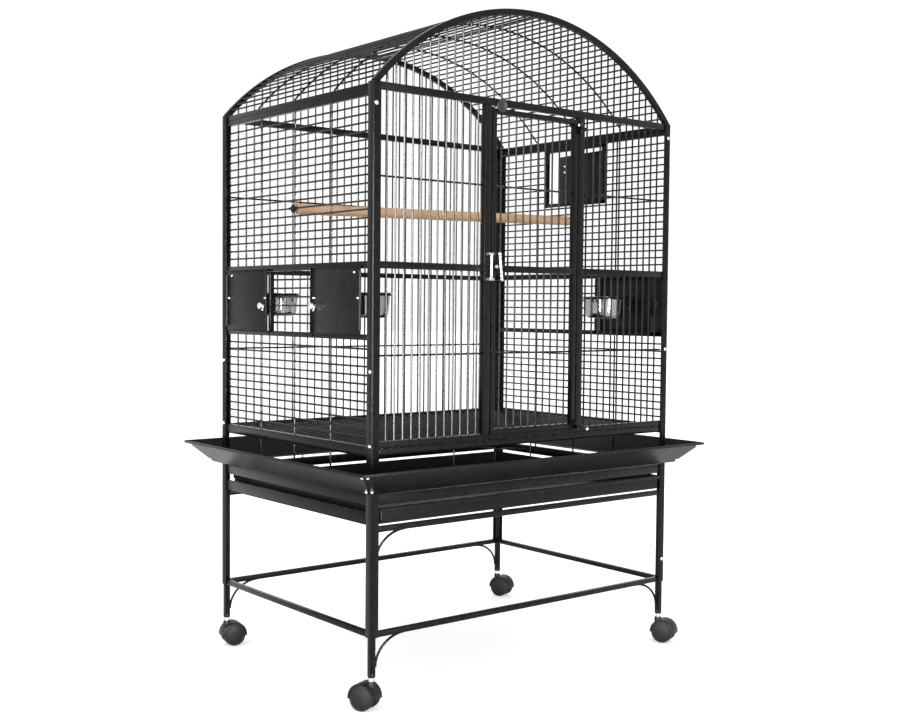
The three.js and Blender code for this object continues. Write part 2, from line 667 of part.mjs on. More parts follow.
// ---- seed guards, mitred at the corners ----
function guard(side) {
  const t = SHEET;
  const profile = [
    [0.6, GUARD_IN_Z - t], [GUARD_FOOT, GUARD_IN_Z - t], [GUARD_REACH, GUARD_OUT_Z - t - 1.5],
    [GUARD_REACH, GUARD_OUT_Z - 7], [GUARD_REACH + 2, GUARD_OUT_Z - 7], [GUARD_REACH + 2, GUARD_OUT_Z],
    [GUARD_REACH - 2.5, GUARD_OUT_Z], [GUARD_FOOT - 0.8, GUARD_IN_Z + 0.4], [0.6, GUARD_IN_Z + 0.4],
  ];
  const along = side.axis === 'x' ? HX : HY;
  const across = side.axis === 'x' ? HY : HX;
  const place = (u, z, e) => {
    const a = e * (along + u - CLR);
    const b = side.sign * (across + u);
    return side.axis === 'x' ? [a, b, z] : [b, a, z];
  };
  const n = profile.length;
  const faces = THREE.ShapeUtils.triangulateShape(profile.map(([u, z]) => new THREE.Vector2(u, z)), []);
  const pos = [];
  const push = (...p) => p.forEach((q) => pos.push(...q));
  const pt = (i, e) => place(profile[i][0], profile[i][1], e);
  for (const [a, b, c] of faces) {
    push(pt(a, -1), pt(b, -1), pt(c, -1));
    push(pt(a, 1), pt(c, 1), pt(b, 1));
  }
  for (let i = 0; i < n; i += 1) {
    const j = (i + 1) % n;
    push(pt(i, -1), pt(j, 1), pt(j, -1));
    push(pt(i, -1), pt(i, 1), pt(j, 1));
  }
  const g = new THREE.BufferGeometry();
  g.setAttribute('position', new THREE.BufferAttribute(new Float32Array(pos), 3));
  if (signedVolume(g) < 0) {
    const a = g.getAttribute('position').array;
    for (let i = 0; i < a.length; i += 9) {
      for (let k = 0; k < 3; k += 1) [a[i + 3 + k], a[i + 6 + k]] = [a[i + 6 + k], a[i + 3 + k]];
    }
  }
  g.computeVertexNormals();
  return g;
}

function signedVolume(g) {
  const a = g.getAttribute('position').array;
  let v = 0;
  for (let i = 0; i < a.length; i += 9) {
    v += a[i] * (a[i + 4] * a[i + 8] - a[i + 5] * a[i + 7])
      - a[i + 1] * (a[i + 3] * a[i + 8] - a[i + 5] * a[i + 6])
      + a[i + 2] * (a[i + 3] * a[i + 7] - a[i + 4] * a[i + 6]);
  }
  return v / 6;
}

// ---- casters: made with the stem on the Z axis and the wheels trailing along +X ----
const AXLE_R = 4;
const WEB_T = 9;
const CASTER_W = WEB_T + 2 * (WHEEL_W + 1);

function casterFork() {
  const r0 = WHEEL_R + 1.5;
  const r1 = WHEEL_R + 4;
  const zc = WHEEL_R;
  const ring = (r, from, to, n) => Array.from({ length: n + 1 }, (_, i) => {
    const a = from + (to - from) * i / n;
    return [CASTER_TRAIL + r * Math.cos(a), zc + r * Math.sin(a)];
  });
  const hood = [...ring(r1, -0.12, Math.PI * 1.02, 9), ...ring(r0, Math.PI * 1.02, -0.12, 9)];
  const web = [...ring(r1 - 1.2, 0.1, Math.PI - 0.1, 6), ...ring(9, Math.PI * 1.1, Math.PI * 1.9, 3)];
  const axleHole = rod(AXLE_R + 0.6, 40, 12);
  axleHole.rotateX(Math.PI / 2);
  axleHole.translate(CASTER_TRAIL, 0, zc);
  const boss = rod(9, 26, 14);
  boss.translate(2, 0, LEG_BOTTOM_Z - 8 - 13);
  const stem = rod(5.2, 14, 12);
  stem.translate(0, 0, LEG_BOTTOM_Z - CLR - 7);
  return join([
    slabXZ(hood, [], -CASTER_W / 2, CASTER_W / 2), slabXZ(web, [], -WEB_T / 2, WEB_T / 2), stem,
    block(-7, 9, -WEB_T / 2, WEB_T / 2, 34, LEG_BOTTOM_Z - 10),
  ], [axleHole]);
}

function casterWheels() {
  const parts = [];
  const w0 = WEB_T / 2 + 0.8;
  const w1 = w0 + WHEEL_W;
  const rr = WHEEL_R / Math.cos(Math.PI / WHEEL_SIDES);
  const prof = [[0, w0], [rr, w0], [rr, w1 - 2.5], [rr - 2.5, w1], [0, w1]];
  for (const e of [-1, 1]) {
    const g = lathe(prof, WHEEL_SIDES);
    g.rotateZ(Math.PI / WHEEL_SIDES);
    g.rotateX(e * Math.PI / 2);
    parts.push(g);
  }
  const axle = rod(AXLE_R, 2 * w1 - 6, 12);
  axle.rotateX(Math.PI / 2);
  parts.push(axle);
  const g = join(parts);
  g.translate(CASTER_TRAIL, 0, WHEEL_R);
  return g;
}

function atCorner(g, key) {
  const x = (key[1] === 'l' ? -1 : 1) * (OUT_X - LEG_SQ / 2);
  const y = (key[0] === 'f' ? -1 : 1) * (OUT_Y - LEG_SQ / 2);
  g.rotateZ(SWIVEL_DEG[key] * Math.PI / 180);
  g.translate(x, y, 0);
  return g;
}

// ---- assembly ----
for (const [key, sx, sy] of [['fl', -1, -1], ['fr', 1, -1], ['bl', -1, 1], ['br', 1, 1]]) {
  put(`corner_angle_${key}`, cornerAngle(sx, sy), 'coat');
  put(`caster_fork_${key}`, atCorner(casterFork(), key), 'plastic');
  put(`caster_wheels_${key}`, atCorner(casterWheels(), key), 'tread');
}
put('stand_side_left', standSide(-1), 'coat');
put('stand_side_right', standSide(1), 'coat');
put('lower_rail_front', standRail(-1, LOW_RAIL_Z, [-1, 1]), 'coat');
put('lower_rail_back', standRail(1, LOW_RAIL_Z, [-1, 1]), 'coat');
put('upper_rail_front', standRail(-1, HIGH_RAIL_Z, [-1]), 'coat');
put('upper_rail_back', standRail(1, HIGH_RAIL_Z, []), 'coat');
put('base_bar_front', baseBar(-1), 'coat');
put('base_bar_back', baseBar(1), 'coat');

const leftOpenings = [
  [-BAR_Y, FEED_LF + FEED_W / 2 + FEED_GAP - JAMB], [FEED_LB - FEED_W / 2 - FEED_GAP + JAMB, BAR_Y],
];
const rightOpenings = [[FEED_RF - FEED_W / 2 - FEED_GAP, FEED_RF + FEED_W / 2 + FEED_GAP - JAMB]];
put('side_left_upper', sideUpper(-1, false), 'coat');
put('side_left_band', sideBand(-1, leftOpenings), 'coat');
put('side_left_lower', sideLower(-1), 'coat');
put('side_right_upper', sideUpper(1, true), 'coat');
put('side_right_band', sideBand(1, rightOpenings), 'coat');
put('side_right_lower', sideLower(1), 'coat');

put('front_sill', block(-BAR_X, BAR_X, -OUT_Y, -IN_Y, SILL_Z, SILL_Z + SILL_H), 'coat');
put('front_wing_left', frontWing(-1), 'coat');
put('front_wing_right', frontWing(1), 'coat');
put('back_panel', backPanel(), 'coat');
put('arch_front', archPanel(-1), 'coat');
put('arch_back', archPanel(1), 'coat');
put('dome_left', domeGrille(-DOME_LAST - 1, -DOME_SPLIT), 'coat');
put('dome_crown', domeGrille(-DOME_SPLIT, DOME_SPLIT), 'coat');
put('dome_right', domeGrille(DOME_SPLIT, DOME_LAST + 1), 'coat');
const ridgeTop = ARC_Z + DOME_OUT - 2 * WIRE - PASS - CLR;
put('ridge_bar', block(-8, 8, -IN_Y + CLR, IN_Y - CLR, ridgeTop - 3, ridgeTop), 'coat');

put('main_door', mainDoor(), 'coat');
put('latch_handle', latchHandle(), 'chrome');
put('latch_keeper', latchKeeper(), 'chrome');
put('door_stop', doorStop(), 'plate');

for (const [key, s, yc, end] of [['lf', -1, FEED_LF, -1], ['lb', -1, FEED_LB, 1], ['rf', 1, FEED_RF, -1]]) {
  put(`feeder_door_${key}`, feederDoor(s, yc, end), 'plate');
  put(`feeder_knob_${key}`, feederKnob(s, yc, end), 'steel');
  put(`bowl_ring_${key}`, bowlRing(s, yc), 'coat');
  put(`bowl_${key}`, bowl(s, yc), 'steel');
}
put('nest_door', nestDoor(), 'plate');
put('perch', perch(), 'wood');
put('floor_grate', grate(), 'coat');
put('tray', tray(), 'plate');
put('guard_front', guard({ axis: 'x', sign: -1 }), 'coat');
put('guard_back', guard({ axis: 'x', sign: 1 }), 'coat');
put('guard_left', guard({ axis: 'y', sign: -1 }), 'coat');
put('guard_right', guard({ axis: 'y', sign: 1 }), 'coat');

export default root;
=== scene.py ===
"""Dome-top parrot cage on a rolling stand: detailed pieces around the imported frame.

Sizes in this file are in millimetres and become metres when a piece is finished.
"""

import json
import math

import bmesh
import bpy
from mathutils import Matrix, Vector


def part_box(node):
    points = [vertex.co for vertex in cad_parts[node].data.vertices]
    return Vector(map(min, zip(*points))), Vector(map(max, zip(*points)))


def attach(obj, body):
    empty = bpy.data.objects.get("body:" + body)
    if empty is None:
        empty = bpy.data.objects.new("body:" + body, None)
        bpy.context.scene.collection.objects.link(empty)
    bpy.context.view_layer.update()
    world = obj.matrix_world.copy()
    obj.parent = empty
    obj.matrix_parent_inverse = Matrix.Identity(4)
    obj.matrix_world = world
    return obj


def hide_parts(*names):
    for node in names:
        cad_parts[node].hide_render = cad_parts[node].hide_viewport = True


bl_info = {
    "name": "Dome-top bird cage",
    "version": (1, 0, 0),
    "blender": (4, 5, 0),
    "location": "View3D > Sidebar > Bird cage",
    "description": "Builds the detailed pieces of a dome-top bird cage on its stand",
    "category": "Add Mesh",
}

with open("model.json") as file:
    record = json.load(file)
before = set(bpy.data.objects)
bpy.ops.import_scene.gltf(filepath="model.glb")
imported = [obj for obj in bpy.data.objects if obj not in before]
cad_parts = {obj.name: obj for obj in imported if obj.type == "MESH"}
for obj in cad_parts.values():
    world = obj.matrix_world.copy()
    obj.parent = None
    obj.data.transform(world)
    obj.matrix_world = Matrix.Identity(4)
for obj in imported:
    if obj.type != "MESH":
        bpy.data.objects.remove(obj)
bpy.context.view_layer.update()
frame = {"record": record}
MM = 0.001


def span(node):
    """Lowest and highest corner of a CAD node at rest, in millimetres."""
    low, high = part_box(node)
    return [v / MM for v in low], [v / MM for v in high]


# ---- sizes read off the frame ----
ANGLE_LOW, ANGLE_HIGH = span("corner_angle_br")
HX, HY, SHOULDER_Z = ANGLE_HIGH
ANGLE_BOTTOM_Z = ANGLE_LOW[2]
CROWN_Z = span("arch_front")[1][2]
STAND_LOW, STAND_HIGH = span("stand_side_right")
OUT_X, OUT_Y = STAND_HIGH[0], STAND_HIGH[1]
LEG_BOTTOM_Z = STAND_LOW[2]
BASE_Z, BASE_TOP_Z = span("base_bar_front")[0][2], STAND_HIGH[2]
BAR = 12
LOW_RAIL_Z = span("lower_rail_front")[1][2] - BAR
HIGH_RAIL_Z = span("upper_rail_front")[1][2] - BAR
SILL_LOW, SILL_HIGH = span("front_sill")
LOW_BAR_Z, LOW_BAR_TOP_Z = 534, 556  # foot bar of the side and back panels
MID_Z, MID_TOP_Z = 928, 943  # bar across every panel at the top of the feeders
FEED_LOW_Z = span("side_left_band")[0][2]
DOOR_LOW, DOOR_HIGH = span("main_door")
TRAY_LOW, TRAY_HIGH = span("tray")
GRATE_LOW, GRATE_HIGH = span("floor_grate")
NEST_FRAME = (-106, 126, 1128, 1288)  # y, y, z, z of the opening's surround
NEST_SIZE = (208, 136)  # width and height of the door over it
NEST_AJAR = 8  # degrees

# ---- stock ----
ANGLE_LEG = 20
ANGLE_T = 2
LEG_SQ = 13
CORNER_R = 2.6  # outer radius of the rolled angles
BRACE_REACH, BRACE_DROP, BRACE_R = 76, 64, 2.8
ROD_X = 228.5  # outer upright rods on the base bars
WIRE = 3.6
WIRE_R = 2.2
WIRE_SINK = 0.35  # how far crossing wires bed into each other
SHEET = 1.5
GUARD_SHEET, PAN_SHEET = 1.3, 1.2
MITRE_GAP = 0.9  # from each guard's end to the corner line
IN_X, IN_Y = OUT_X - BAR, OUT_Y - BAR
BAR_X = IN_X - 1
BAR_Y = OUT_Y - 0.3
WIRE_X, WIRE_Y = OUT_X - BAR / 2, OUT_Y - BAR / 2
SIDE_UPRIGHT_X = WIRE_X - WIRE + WIRE_SINK
CROSS_Y = WIRE_Y - WIRE + WIRE_SINK
RISE = CROWN_Z - SHOULDER_Z
ARC_R = (HX * HX + RISE * RISE) / (2 * RISE)
ARC_Z = CROWN_Z - ARC_R
ARC_A = math.asin(HX / ARC_R)
ARCH_T = 14  # depth of the arched tubes
PITCH_X = 22.5
DOME_PITCH = 21.6
DOME_WIRE_R = ARC_R - 2 - WIRE_R  # radius of the level dome wires' centres
DOME_SPLIT = 7.5  # the panels part between the seventh and eighth wires from the crown
DOME_LAST = 23
HOOP_STEP = 161  # from one dome hoop to the next
UPRIGHTS = (-150, 0, 150)  # y of the side panels' upright wires
FRONT_CROSS = (746, 1120)  # z of the front's level wires
BACK_CROSS = (742, 1114)
UPPER_ROWS, BAND_ROWS, LOWER_ROWS = 18, 6, 11
DOOR_HALF = 132
DIVIDER = (135, 155)  # x of the post on each side of the door
SILL_BOLT_X = 176.8
HINGE = (137, -328)  # x, y of the main door's pins
LATCH = (-120, 939)  # x, z of the latch's hub
CORNERS = {"fl": (-1, -1), "fr": (1, -1), "bl": (-1, 1), "br": (1, 1)}
FEEDERS = {"lf": (-1, -1), "lb": (-1, 1), "rf": (1, -1)}  # side, and which end is hinged
PERCH_LEFT, PERCH_RIGHT = Vector((-442.4, -2, 1068)), Vector((442.4, 26, 1087))
PERCH_RUN, PERCH_R = 886, 12.5
# bolt heights on the front or back leg of each angle, then on its side leg
ANGLE_BOLTS = {
    "fl": ((1267,), (713, 557)),
    "fr": ((1277, 747, 212), ()),
    "bl": ((1267,), (713, 557)),
    "br": ((1277, 747, 212), ()),
}
PLATE_X = HX + 1
FEED_HALF = 95  # half the width of a feeder door
BOWL_X = HX - 79
FEED_FILL = {"left": (-95, 103), "right": (-85, BAR_Y)}  # y limits of the grille between feeders
KNOB_Z = 848
FEED_Y = {"lf": -187, "lb": 195, "rf": -177}  # centre of each feeder door


# ---- mesh helpers ----
def edges_of(verts):
    """The edges at some vertices, each once and always in the same order."""
    return list(dict.fromkeys(e for v in verts for e in v.link_edges))


def rounded(bm, edges, radius, segments):
    """Rounds the edges given."""
    bmesh.ops.bevel(
        bm, geom=edges, offset=radius, segments=segments, profile=0.5, affect="EDGES", material=-1
    )


def bar(bm, low, high, edge):
    """A square bar, tube or plate between two corners, with its edges rounded."""
    low, high = Vector(map(min, low, high)), Vector(map(max, low, high))
    size = high - low
    place = Matrix.Translation((low + high) / 2) @ Matrix.Diagonal((*size, 1))
    made = bmesh.ops.create_cube(bm, size=1, matrix=place)
    rounded(bm, edges_of(made["verts"]), min(edge, 0.42 * min(size)), 2)


def rod(bm, start, end, radius, sides):
    """A straight round rod."""
    start, end = Vector(start), Vector(end)
    turn = (end - start).to_track_quat("Z", "Y").to_matrix().to_4x4()
    place = Matrix.Translation((start + end) / 2) @ turn
    bmesh.ops.create_cone(
        bm,
        cap_ends=True,
        segments=sides,
        radius1=radius,
        radius2=radius,
        depth=(end - start).length,
        matrix=place,
    )


def wire(bm, start, end):
    """A straight grille wire."""
    rod(bm, start, end, WIRE_R, sizes().wire_sides)


def bent(bm, points, radius, sides):
    """A round wire along a bent line."""
    points = [Vector(p) for p in points]
    rings = []
    normal = None
    for i, p in enumerate(points):
        along = (points[min(i + 1, len(points) - 1)] - points[max(i - 1, 0)]).normalized()
        if normal is None:
            normal = along.orthogonal().normalized()
        normal = (normal - along * normal.dot(along)).normalized()
        side = along.cross(normal)
        turn = Matrix((normal, side, along)).transposed().to_4x4()
        ends = i in (0, len(points) - 1)
        ring = bmesh.ops.create_circle(
            bm,
            cap_ends=ends,
            segments=sides,
            radius=radius,
            matrix=Matrix.Translation(p) @ turn,
        )["verts"]
        rings.append(edges_of(ring))
    for a, b in zip(rings, rings[1:]):
        bmesh.ops.bridge_loops(bm, edges=a + b)


def add(bm, part):
    """Adds one closed shape to a piece's mesh, facing outwards."""
    bmesh.ops.remove_doubles(part, verts=part.verts, dist=0.001)
    bmesh.ops.recalc_face_normals(part, faces=part.faces)
    mesh = bpy.data.meshes.new("part")
    part.to_mesh(mesh)
    part.free()
    bm.from_mesh(mesh)
    bpy.data.meshes.remove(mesh)


def turned(bm, profile, place, sides):
    """A shape turned about the Z axis from a line of (radius, height) points, then put in place."""
    part = bmesh.new()
    verts = [part.verts.new((r, 0, z)) for r, z in profile]
    edges = [part.edges.new(pair) for pair in zip(verts, verts[1:])]
    bmesh.ops.spin(
        part,
        geom=verts + edges,
        cent=(0, 0, 0),
        axis=(0, 0, 1),
        dvec=(0, 0, 0),
        angle=math.tau,
        steps=sides,
        use_merge=True,
        use_duplicate=False,
    )
    bmesh.ops.transform(part, matrix=place, verts=part.verts)
    add(bm, part)


def swept_arc(bm, outline, centre, start, end, steps):
    """A closed outline of (radius, depth) points swept about a level axis along Y."""
    part = bmesh.new()
    verts = []
    for r, y in outline:
        x, z = r * math.sin(start), r * math.cos(start)
        verts.append(part.verts.new((centre[0] + x, y, centre[1] + z)))
    face = part.faces.new(verts)
    bmesh.ops.spin(
        part,
        geom=[face, *face.edges, *face.verts],
        cent=(centre[0], 0, centre[1]),
        axis=(0, 1, 0),
        dvec=(0, 0, 0),
        angle=end - start,
        steps=steps,
        use_merge=False,
        use_duplicate=False,
    )
    add(bm, part)


def pulled(bm, outline, height, edge):
    """A flat outline of points pulled straight up, with its sharp edges rounded."""
    part = bmesh.new()
    face = part.faces.new([part.verts.new(p) for p in outline])
    up = bmesh.ops.extrude_face_region(part, geom=[face])["geom"]
    moved = [v for v in up if isinstance(v, bmesh.types.BMVert)]
    bmesh.ops.translate(part, verts=moved, vec=(0, 0, height))
    bmesh.ops.recalc_face_normals(part, faces=part.faces)
    sharp = [e for e in part.edges if e.calc_face_angle(0) > math.radians(40)]
    rounded(part, sharp, edge, 2)
    add(bm, part)


def facing(position, direction):
    """Matrix that puts a shape's Z axis along a direction at a position."""
    turn = Vector(direction).to_track_quat("Z", "Y").to_matrix().to_4x4()
    return Matrix.Translation(position) @ turn


def bolt(bm, position, direction, head):
    """A domed bolt head on a washer, standing on a face."""
    place = facing(position, direction)
    washer = [(0, 0.0), (head * 1.25, 0.0), (head * 1.25, 0.5), (head * 1.1, 0.8), (0, 0.8)]
    dome = [(0, 0.7), (head, 0.7), (head, 1.3), (head * 0.82, 2.3), (head * 0.45, 2.9), (0, 3.0)]
    for line in (washer, dome):
        turned(bm, line, place, 20)


def finish_piece(bm, name, body, finish, nodes=(), smooth=35, shell=None):
    """Turns a mesh into a piece that rides on a body and stands for its CAD nodes.

    Edges sharper than smooth degrees stay crisp, and shell is the wall of an open sheet.
    """
    bmesh.ops.scale(bm, vec=(MM, MM, MM), verts=bm.verts)
    bmesh.ops.recalc_face_normals(bm, faces=bm.faces)
    mesh = bpy.data.meshes.new(name)
    bm.to_mesh(mesh)
    bm.free()
    for polygon in mesh.polygons:
        polygon.use_smooth = True
    mesh.set_sharp_from_angle(angle=math.radians(smooth))
    piece = bpy.data.objects.new(name, mesh)
    bpy.context.collection.objects.link(piece)
    mesh.materials.append(material(finish))
    if shell is not None:
        thick = piece.modifiers.new("wall", "SOLIDIFY")
        thick.thickness = shell * MM
        thick.offset = 0
        thick.use_even_offset = True
        soft = piece.modifiers.new("edges", "BEVEL")
        soft.width = 0.3 * shell * MM
        soft.segments = 2
        soft.limit_method = "ANGLE"
        soft.angle_limit = math.radians(50)
    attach(piece, body)
    if nodes:
        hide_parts(*nodes)
    return piece


def level_wires(limit_low, limit_high):
    """X places of the upright wires between two limits."""
    places = [PITCH_X * (i + 0.5) for i in range(20)]
    return [x for p in places for x in (p, -p) if limit_low < x < limit_high]


# ---- materials ----
class Shade:
    """Short ways to add and join shader nodes in one tree."""

    def __init__(self, tree):
        self.tree = tree

    def node(self, kind, values=None, **settings):
        made = self.tree.nodes.new(kind)
        for key, value in settings.items():
            setattr(made, key, value)
        for key, value in (values or {}).items():
            if isinstance(value, bpy.types.NodeSocket):
                self.tree.links.new(value, made.inputs[key])
            else:
                made.inputs[key].default_value = value
        return made

    def mix(self, amount, a, b, blend="MIX"):
        values = {0: amount, 6: a, 7: b}  # the colour sockets of a Mix node
        return self.node("ShaderNodeMix", values, data_type="RGBA", blend_type=blend).outputs[2]

    def math(self, operation, a, b, clamp=False):
        values = {0: a, 1: b}
        return self.node("ShaderNodeMath", values, operation=operation, use_clamp=clamp).outputs[0]

    def span(self, value, low, high, to_low, to_high):
        values = {0: value, 1: low, 2: high, 3: to_low, 4: to_high}
        return self.node("ShaderNodeMapRange", values).outputs[0]

    def noise(self, place, scale, detail=2.0, roughness=0.5):
        values = {"Vector": place, "Scale": scale, "Detail": detail, "Roughness": roughness}
        return self.node("ShaderNodeTexNoise", values).outputs["Fac"]


def new_group(name, inputs):
    """A shader node group with named inputs that gives a surface's colour, roughness and height."""
    tree = bpy.data.node_groups.new(name, "ShaderNodeTree")
    tree.interface.new_socket(name="Vector", in_out="INPUT", socket_type="NodeSocketVector")
    for label, value in inputs.items():
        kind = "NodeSocketColor" if isinstance(value, tuple) else "NodeSocketFloat"
        socket = tree.interface.new_socket(name=label, in_out="INPUT", socket_type=kind)
        socket.default_value = value
    for label, kind in (("Color", "Color"), ("Roughness", "Float"), ("Height", "Float")):
        tree.interface.new_socket(name=label, in_out="OUTPUT", socket_type=f"NodeSocket{kind}")
    shade = Shade(tree)
    return tree, shade, shade.node("NodeGroupInput"), shade.node("NodeGroupOutput")


def powder_group():
    """Powder coat: fine pebbled grain, faint cloudiness, a painted highlight along sharp edges and
    settled dust.
    """
    tree, s, given, out = new_group(
        "powder_coat",
        {
            "Color": (0.02, 0.02, 0.02, 1),
            "Fleck And Painted Highlight Color": (0.1, 0.1, 0.1, 1),
            "Grain Scale": 900.0,
            "Roughness": 0.4,
            "Painted Edge Highlight": 0.5,
            "Dust": 0.3,
        },
    )
    place = given.outputs["Vector"]
    cloud = s.noise(place, 9.0, 3.0)
    fleck = s.noise(place, 2600.0, 1.0)
    grain = s.node(
        "ShaderNodeTexNoise",
        {"Vector": place, "Scale": given.outputs["Grain Scale"], "Detail": 2.0, "Roughness": 0.6},
    ).outputs["Fac"]
    geometry = s.node("ShaderNodeNewGeometry")
    # painted highlight: sharp edges (high pointiness), broken up by noise, turn toward the paler
    # colour and stand in for gloss on the rounded edges of a new coat
    edge = s.span(geometry.outputs["Pointiness"], 0.5, 0.58, 0.0, 1.0)
    broken = s.span(s.noise(place, 60.0, 4.0), 0.4, 0.62, 0.15, 1.0)
    painted_highlight_mask = s.math("MULTIPLY", edge, broken)
    painted_highlight_amount = s.math("MULTIPLY", painted_highlight_mask, given.outputs["Painted Edge Highlight"], clamp=True)
    upward = s.node("ShaderNodeSeparateXYZ", {0: geometry.outputs["Normal"]}).outputs["Z"]
    settled = s.span(upward, 0.55, 1.0, 0.0, 1.0)
    dust = s.math(
        "MULTIPLY",
        s.math("MULTIPLY", settled, s.span(s.noise(place, 34.0, 4.0), 0.35, 0.7, 0.2, 1.0)),
        given.outputs["Dust"],
        clamp=True,
    )
    shaded = s.mix(
        s.span(cloud, 0.3, 0.7, 0.0, 0.2),
        given.outputs["Color"],
        s.mix(1.0, given.outputs["Color"], (1.35, 1.35, 1.37, 1), "MULTIPLY"),
    )
    flecked = s.mix(s.span(fleck, 0.62, 0.75, 0.0, 0.2), shaded, given.outputs["Fleck And Painted Highlight Color"])
    # painted highlight laid over the flecked coat along the edges
    flecks_and_painted_highlight = s.mix(painted_highlight_amount, flecked, given.outputs["Fleck And Painted Highlight Color"])
    dusty = s.mix(dust, flecks_and_painted_highlight, (0.16, 0.158, 0.15, 1))
    rough = s.math("ADD", given.outputs["Roughness"], s.span(cloud, 0.3, 0.7, -0.04, 0.05))
    rough = s.math("ADD", rough, s.math("MULTIPLY", dust, 0.3), clamp=True)
    s.tree.links.new(dusty, out.inputs["Color"])
    s.tree.links.new(rough, out.inputs["Roughness"])
    s.tree.links.new(grain, out.inputs["Height"])
    return tree


def metal_group():
    """Plated or pressed metal: drawn streaks along one direction and smudges."""
    tree, s, given, out = new_group(
        "drawn_metal",
        {
            "Color": (0.6, 0.6, 0.6, 1),
            "Tarnish": (0.3, 0.3, 0.29, 1),
            "Streak Scale": 500.0,
            "Roughness": 0.2,
            "Spots": 0.2,
        },
    )
    place = given.outputs["Vector"]
    drawn = s.node("ShaderNodeMapping", {"Vector": place, "Scale": (0.12, 0.12, 1.0)})
    streak = s.node(
        "ShaderNodeTexNoise",
        {"Vector": drawn.outputs[0], "Scale": given.outputs["Streak Scale"], "Detail": 3.0},
    ).outputs["Fac"]
    smudge = s.noise(place, 38.0, 4.0)
    smudge = s.span(smudge, 0.5, 0.72, 0.0, 1.0)
    spots = s.math("MULTIPLY", smudge, given.outputs["Spots"], clamp=True)
    drawn_out = s.span(streak, 0.35, 0.65, 0.0, 0.25)
    streaked = s.mix(drawn_out, given.outputs["Color"], given.outputs["Tarnish"])
    colour = s.mix(spots, streaked, given.outputs["Tarnish"])
    rough = s.math("ADD", given.outputs["Roughness"], s.span(streak, 0.3, 0.7, -0.03, 0.06))
    rough = s.math("ADD", rough, s.math("MULTIPLY", spots, 0.35), clamp=True)
    s.tree.links.new(colour, out.inputs["Color"])
    s.tree.links.new(rough, out.inputs["Roughness"])
    s.tree.links.new(streak, out.inputs["Height"])
    return tree


def new_material(name, bump, distance, metallic=0.0):
    """A material with its shader, object coordinates and a bump node ready to join."""
    material = bpy.data.materials.new(name)
    material.use_nodes = True
    material.node_tree.nodes.clear()
    s = Shade(material.node_tree)
    place = s.node("ShaderNodeTexCoord").outputs["Object"]
    shader = s.node("ShaderNodeBsdfPrincipled", {"Metallic": metallic})
    s.node("ShaderNodeOutputMaterial", {"Surface": shader.outputs[0]})
    relief = s.node("ShaderNodeBump", {"Strength": bump, "Distance": distance})
    s.tree.links.new(relief.outputs[0], shader.inputs["Normal"])
    return material, s, place, shader, relief


def join_group(s, group, place, shader, relief, values):
    """Places a node group in a material and joins its colour, roughness and height."""
    made = s.node("ShaderNodeGroup", node_tree=bpy.data.node_groups.get(group) or GROUPS[group]())
    s.tree.links.new(place, made.inputs["Vector"])
    for key, value in values.items():
        made.inputs[key].default_value = value
    s.tree.links.new(made.outputs["Color"], shader.inputs["Base Color"])
    s.tree.links.new(made.outputs["Roughness"], shader.inputs["Roughness"])
    s.tree.links.new(made.outputs["Height"], relief.inputs["Height"])


GROUPS = {"powder_coat": powder_group, "drawn_metal": metal_group}


def opaque(colour):
    """A colour with full alpha."""
    return (*colour[:3], 1.0)


def powder_material(name, colour, grain, roughness, painted_highlight_amount, dust, bump, specular):
    """Powder coat of one colour, with its grain, painted edge highlight and dust."""
    made, s, place, shader, relief = new_material(name, bump, 0.0004)
    shader.inputs["Specular IOR Level"].default_value = specular
    values = {
        "Color": opaque(colour),
        "Fleck And Painted Highlight Color": opaque(bpy.context.scene.cage_colours.flecks_and_painted_highlight),
        "Grain Scale": grain,
        "Roughness": roughness,
        "Painted Edge Highlight": painted_highlight_amount,
        "Dust": dust,
    }
    join_group(s, "powder_coat", place, shader, relief, values)
    return made


def metal_material(name, colour, tarnish, streak, roughness, spots, centre=None):
    """Bright metal, its streaks drawn about a centre where one is given."""
    made, s, place, shader, relief = new_material(name, 0.05, 0.0001, metallic=1.0)
    if centre is not None:
        shift = tuple(-v * MM for v in centre)
        place = s.node("ShaderNodeMapping", {"Vector": place, "Location": shift}).outputs[0]
    values = {
        "Color": opaque(colour),
        "Tarnish": opaque(tarnish),
        "Streak Scale": streak,
        "Roughness": roughness,
        "Spots": spots,
    }
    join_group(s, "drawn_metal", place, shader, relief, values)
    return made


def wood_material(colour, dark):
    """Sanded dowel: long grain, growth bands, pores and a few darker flecks."""
    made, s, place, shader, relief = new_material("perch_wood", 0.25, 0.0005)
    along = PERCH_RIGHT - PERCH_LEFT
    level = {"Vector": place, "Rotation": (0, math.atan2(along.z, PERCH_RUN), 0)}
    turned_place = s.node("ShaderNodeMapping", level).outputs[0]
    drawn = {"Vector": turned_place, "Scale": (0.05, 1, 1)}
    long_place = s.node("ShaderNodeMapping", drawn).outputs[0]
    grain = s.noise(long_place, 420.0, 6.0, 0.65)
    band = s.noise(long_place, 90.0, 3.0)
    pores = s.span(s.noise(long_place, 1500.0, 2.0), 0.62, 0.72, 0.0, 1.0)
    knots = s.span(s.noise(turned_place, 16.0, 2.0), 0.66, 0.76, 0.0, 0.55)
    colour = s.mix(s.span(grain, 0.35, 0.65, 0.0, 0.5), opaque(colour), opaque(dark))
    colour = s.mix(s.span(band, 0.4, 0.65, 0.0, 0.35), colour, (0.66, 0.42, 0.23, 1))
    colour = s.mix(s.math("MULTIPLY", pores, 0.45), colour, opaque(dark))
    colour = s.mix(knots, colour, (0.22, 0.1, 0.04, 1))
    s.tree.links.new(colour, shader.inputs["Base Color"])
    s.tree.links.new(s.span(grain, 0.3, 0.7, 0.58, 0.75), shader.inputs["Roughness"])
    s.tree.links.new(s.math("SUBTRACT", grain, pores), relief.inputs["Height"])
    return made


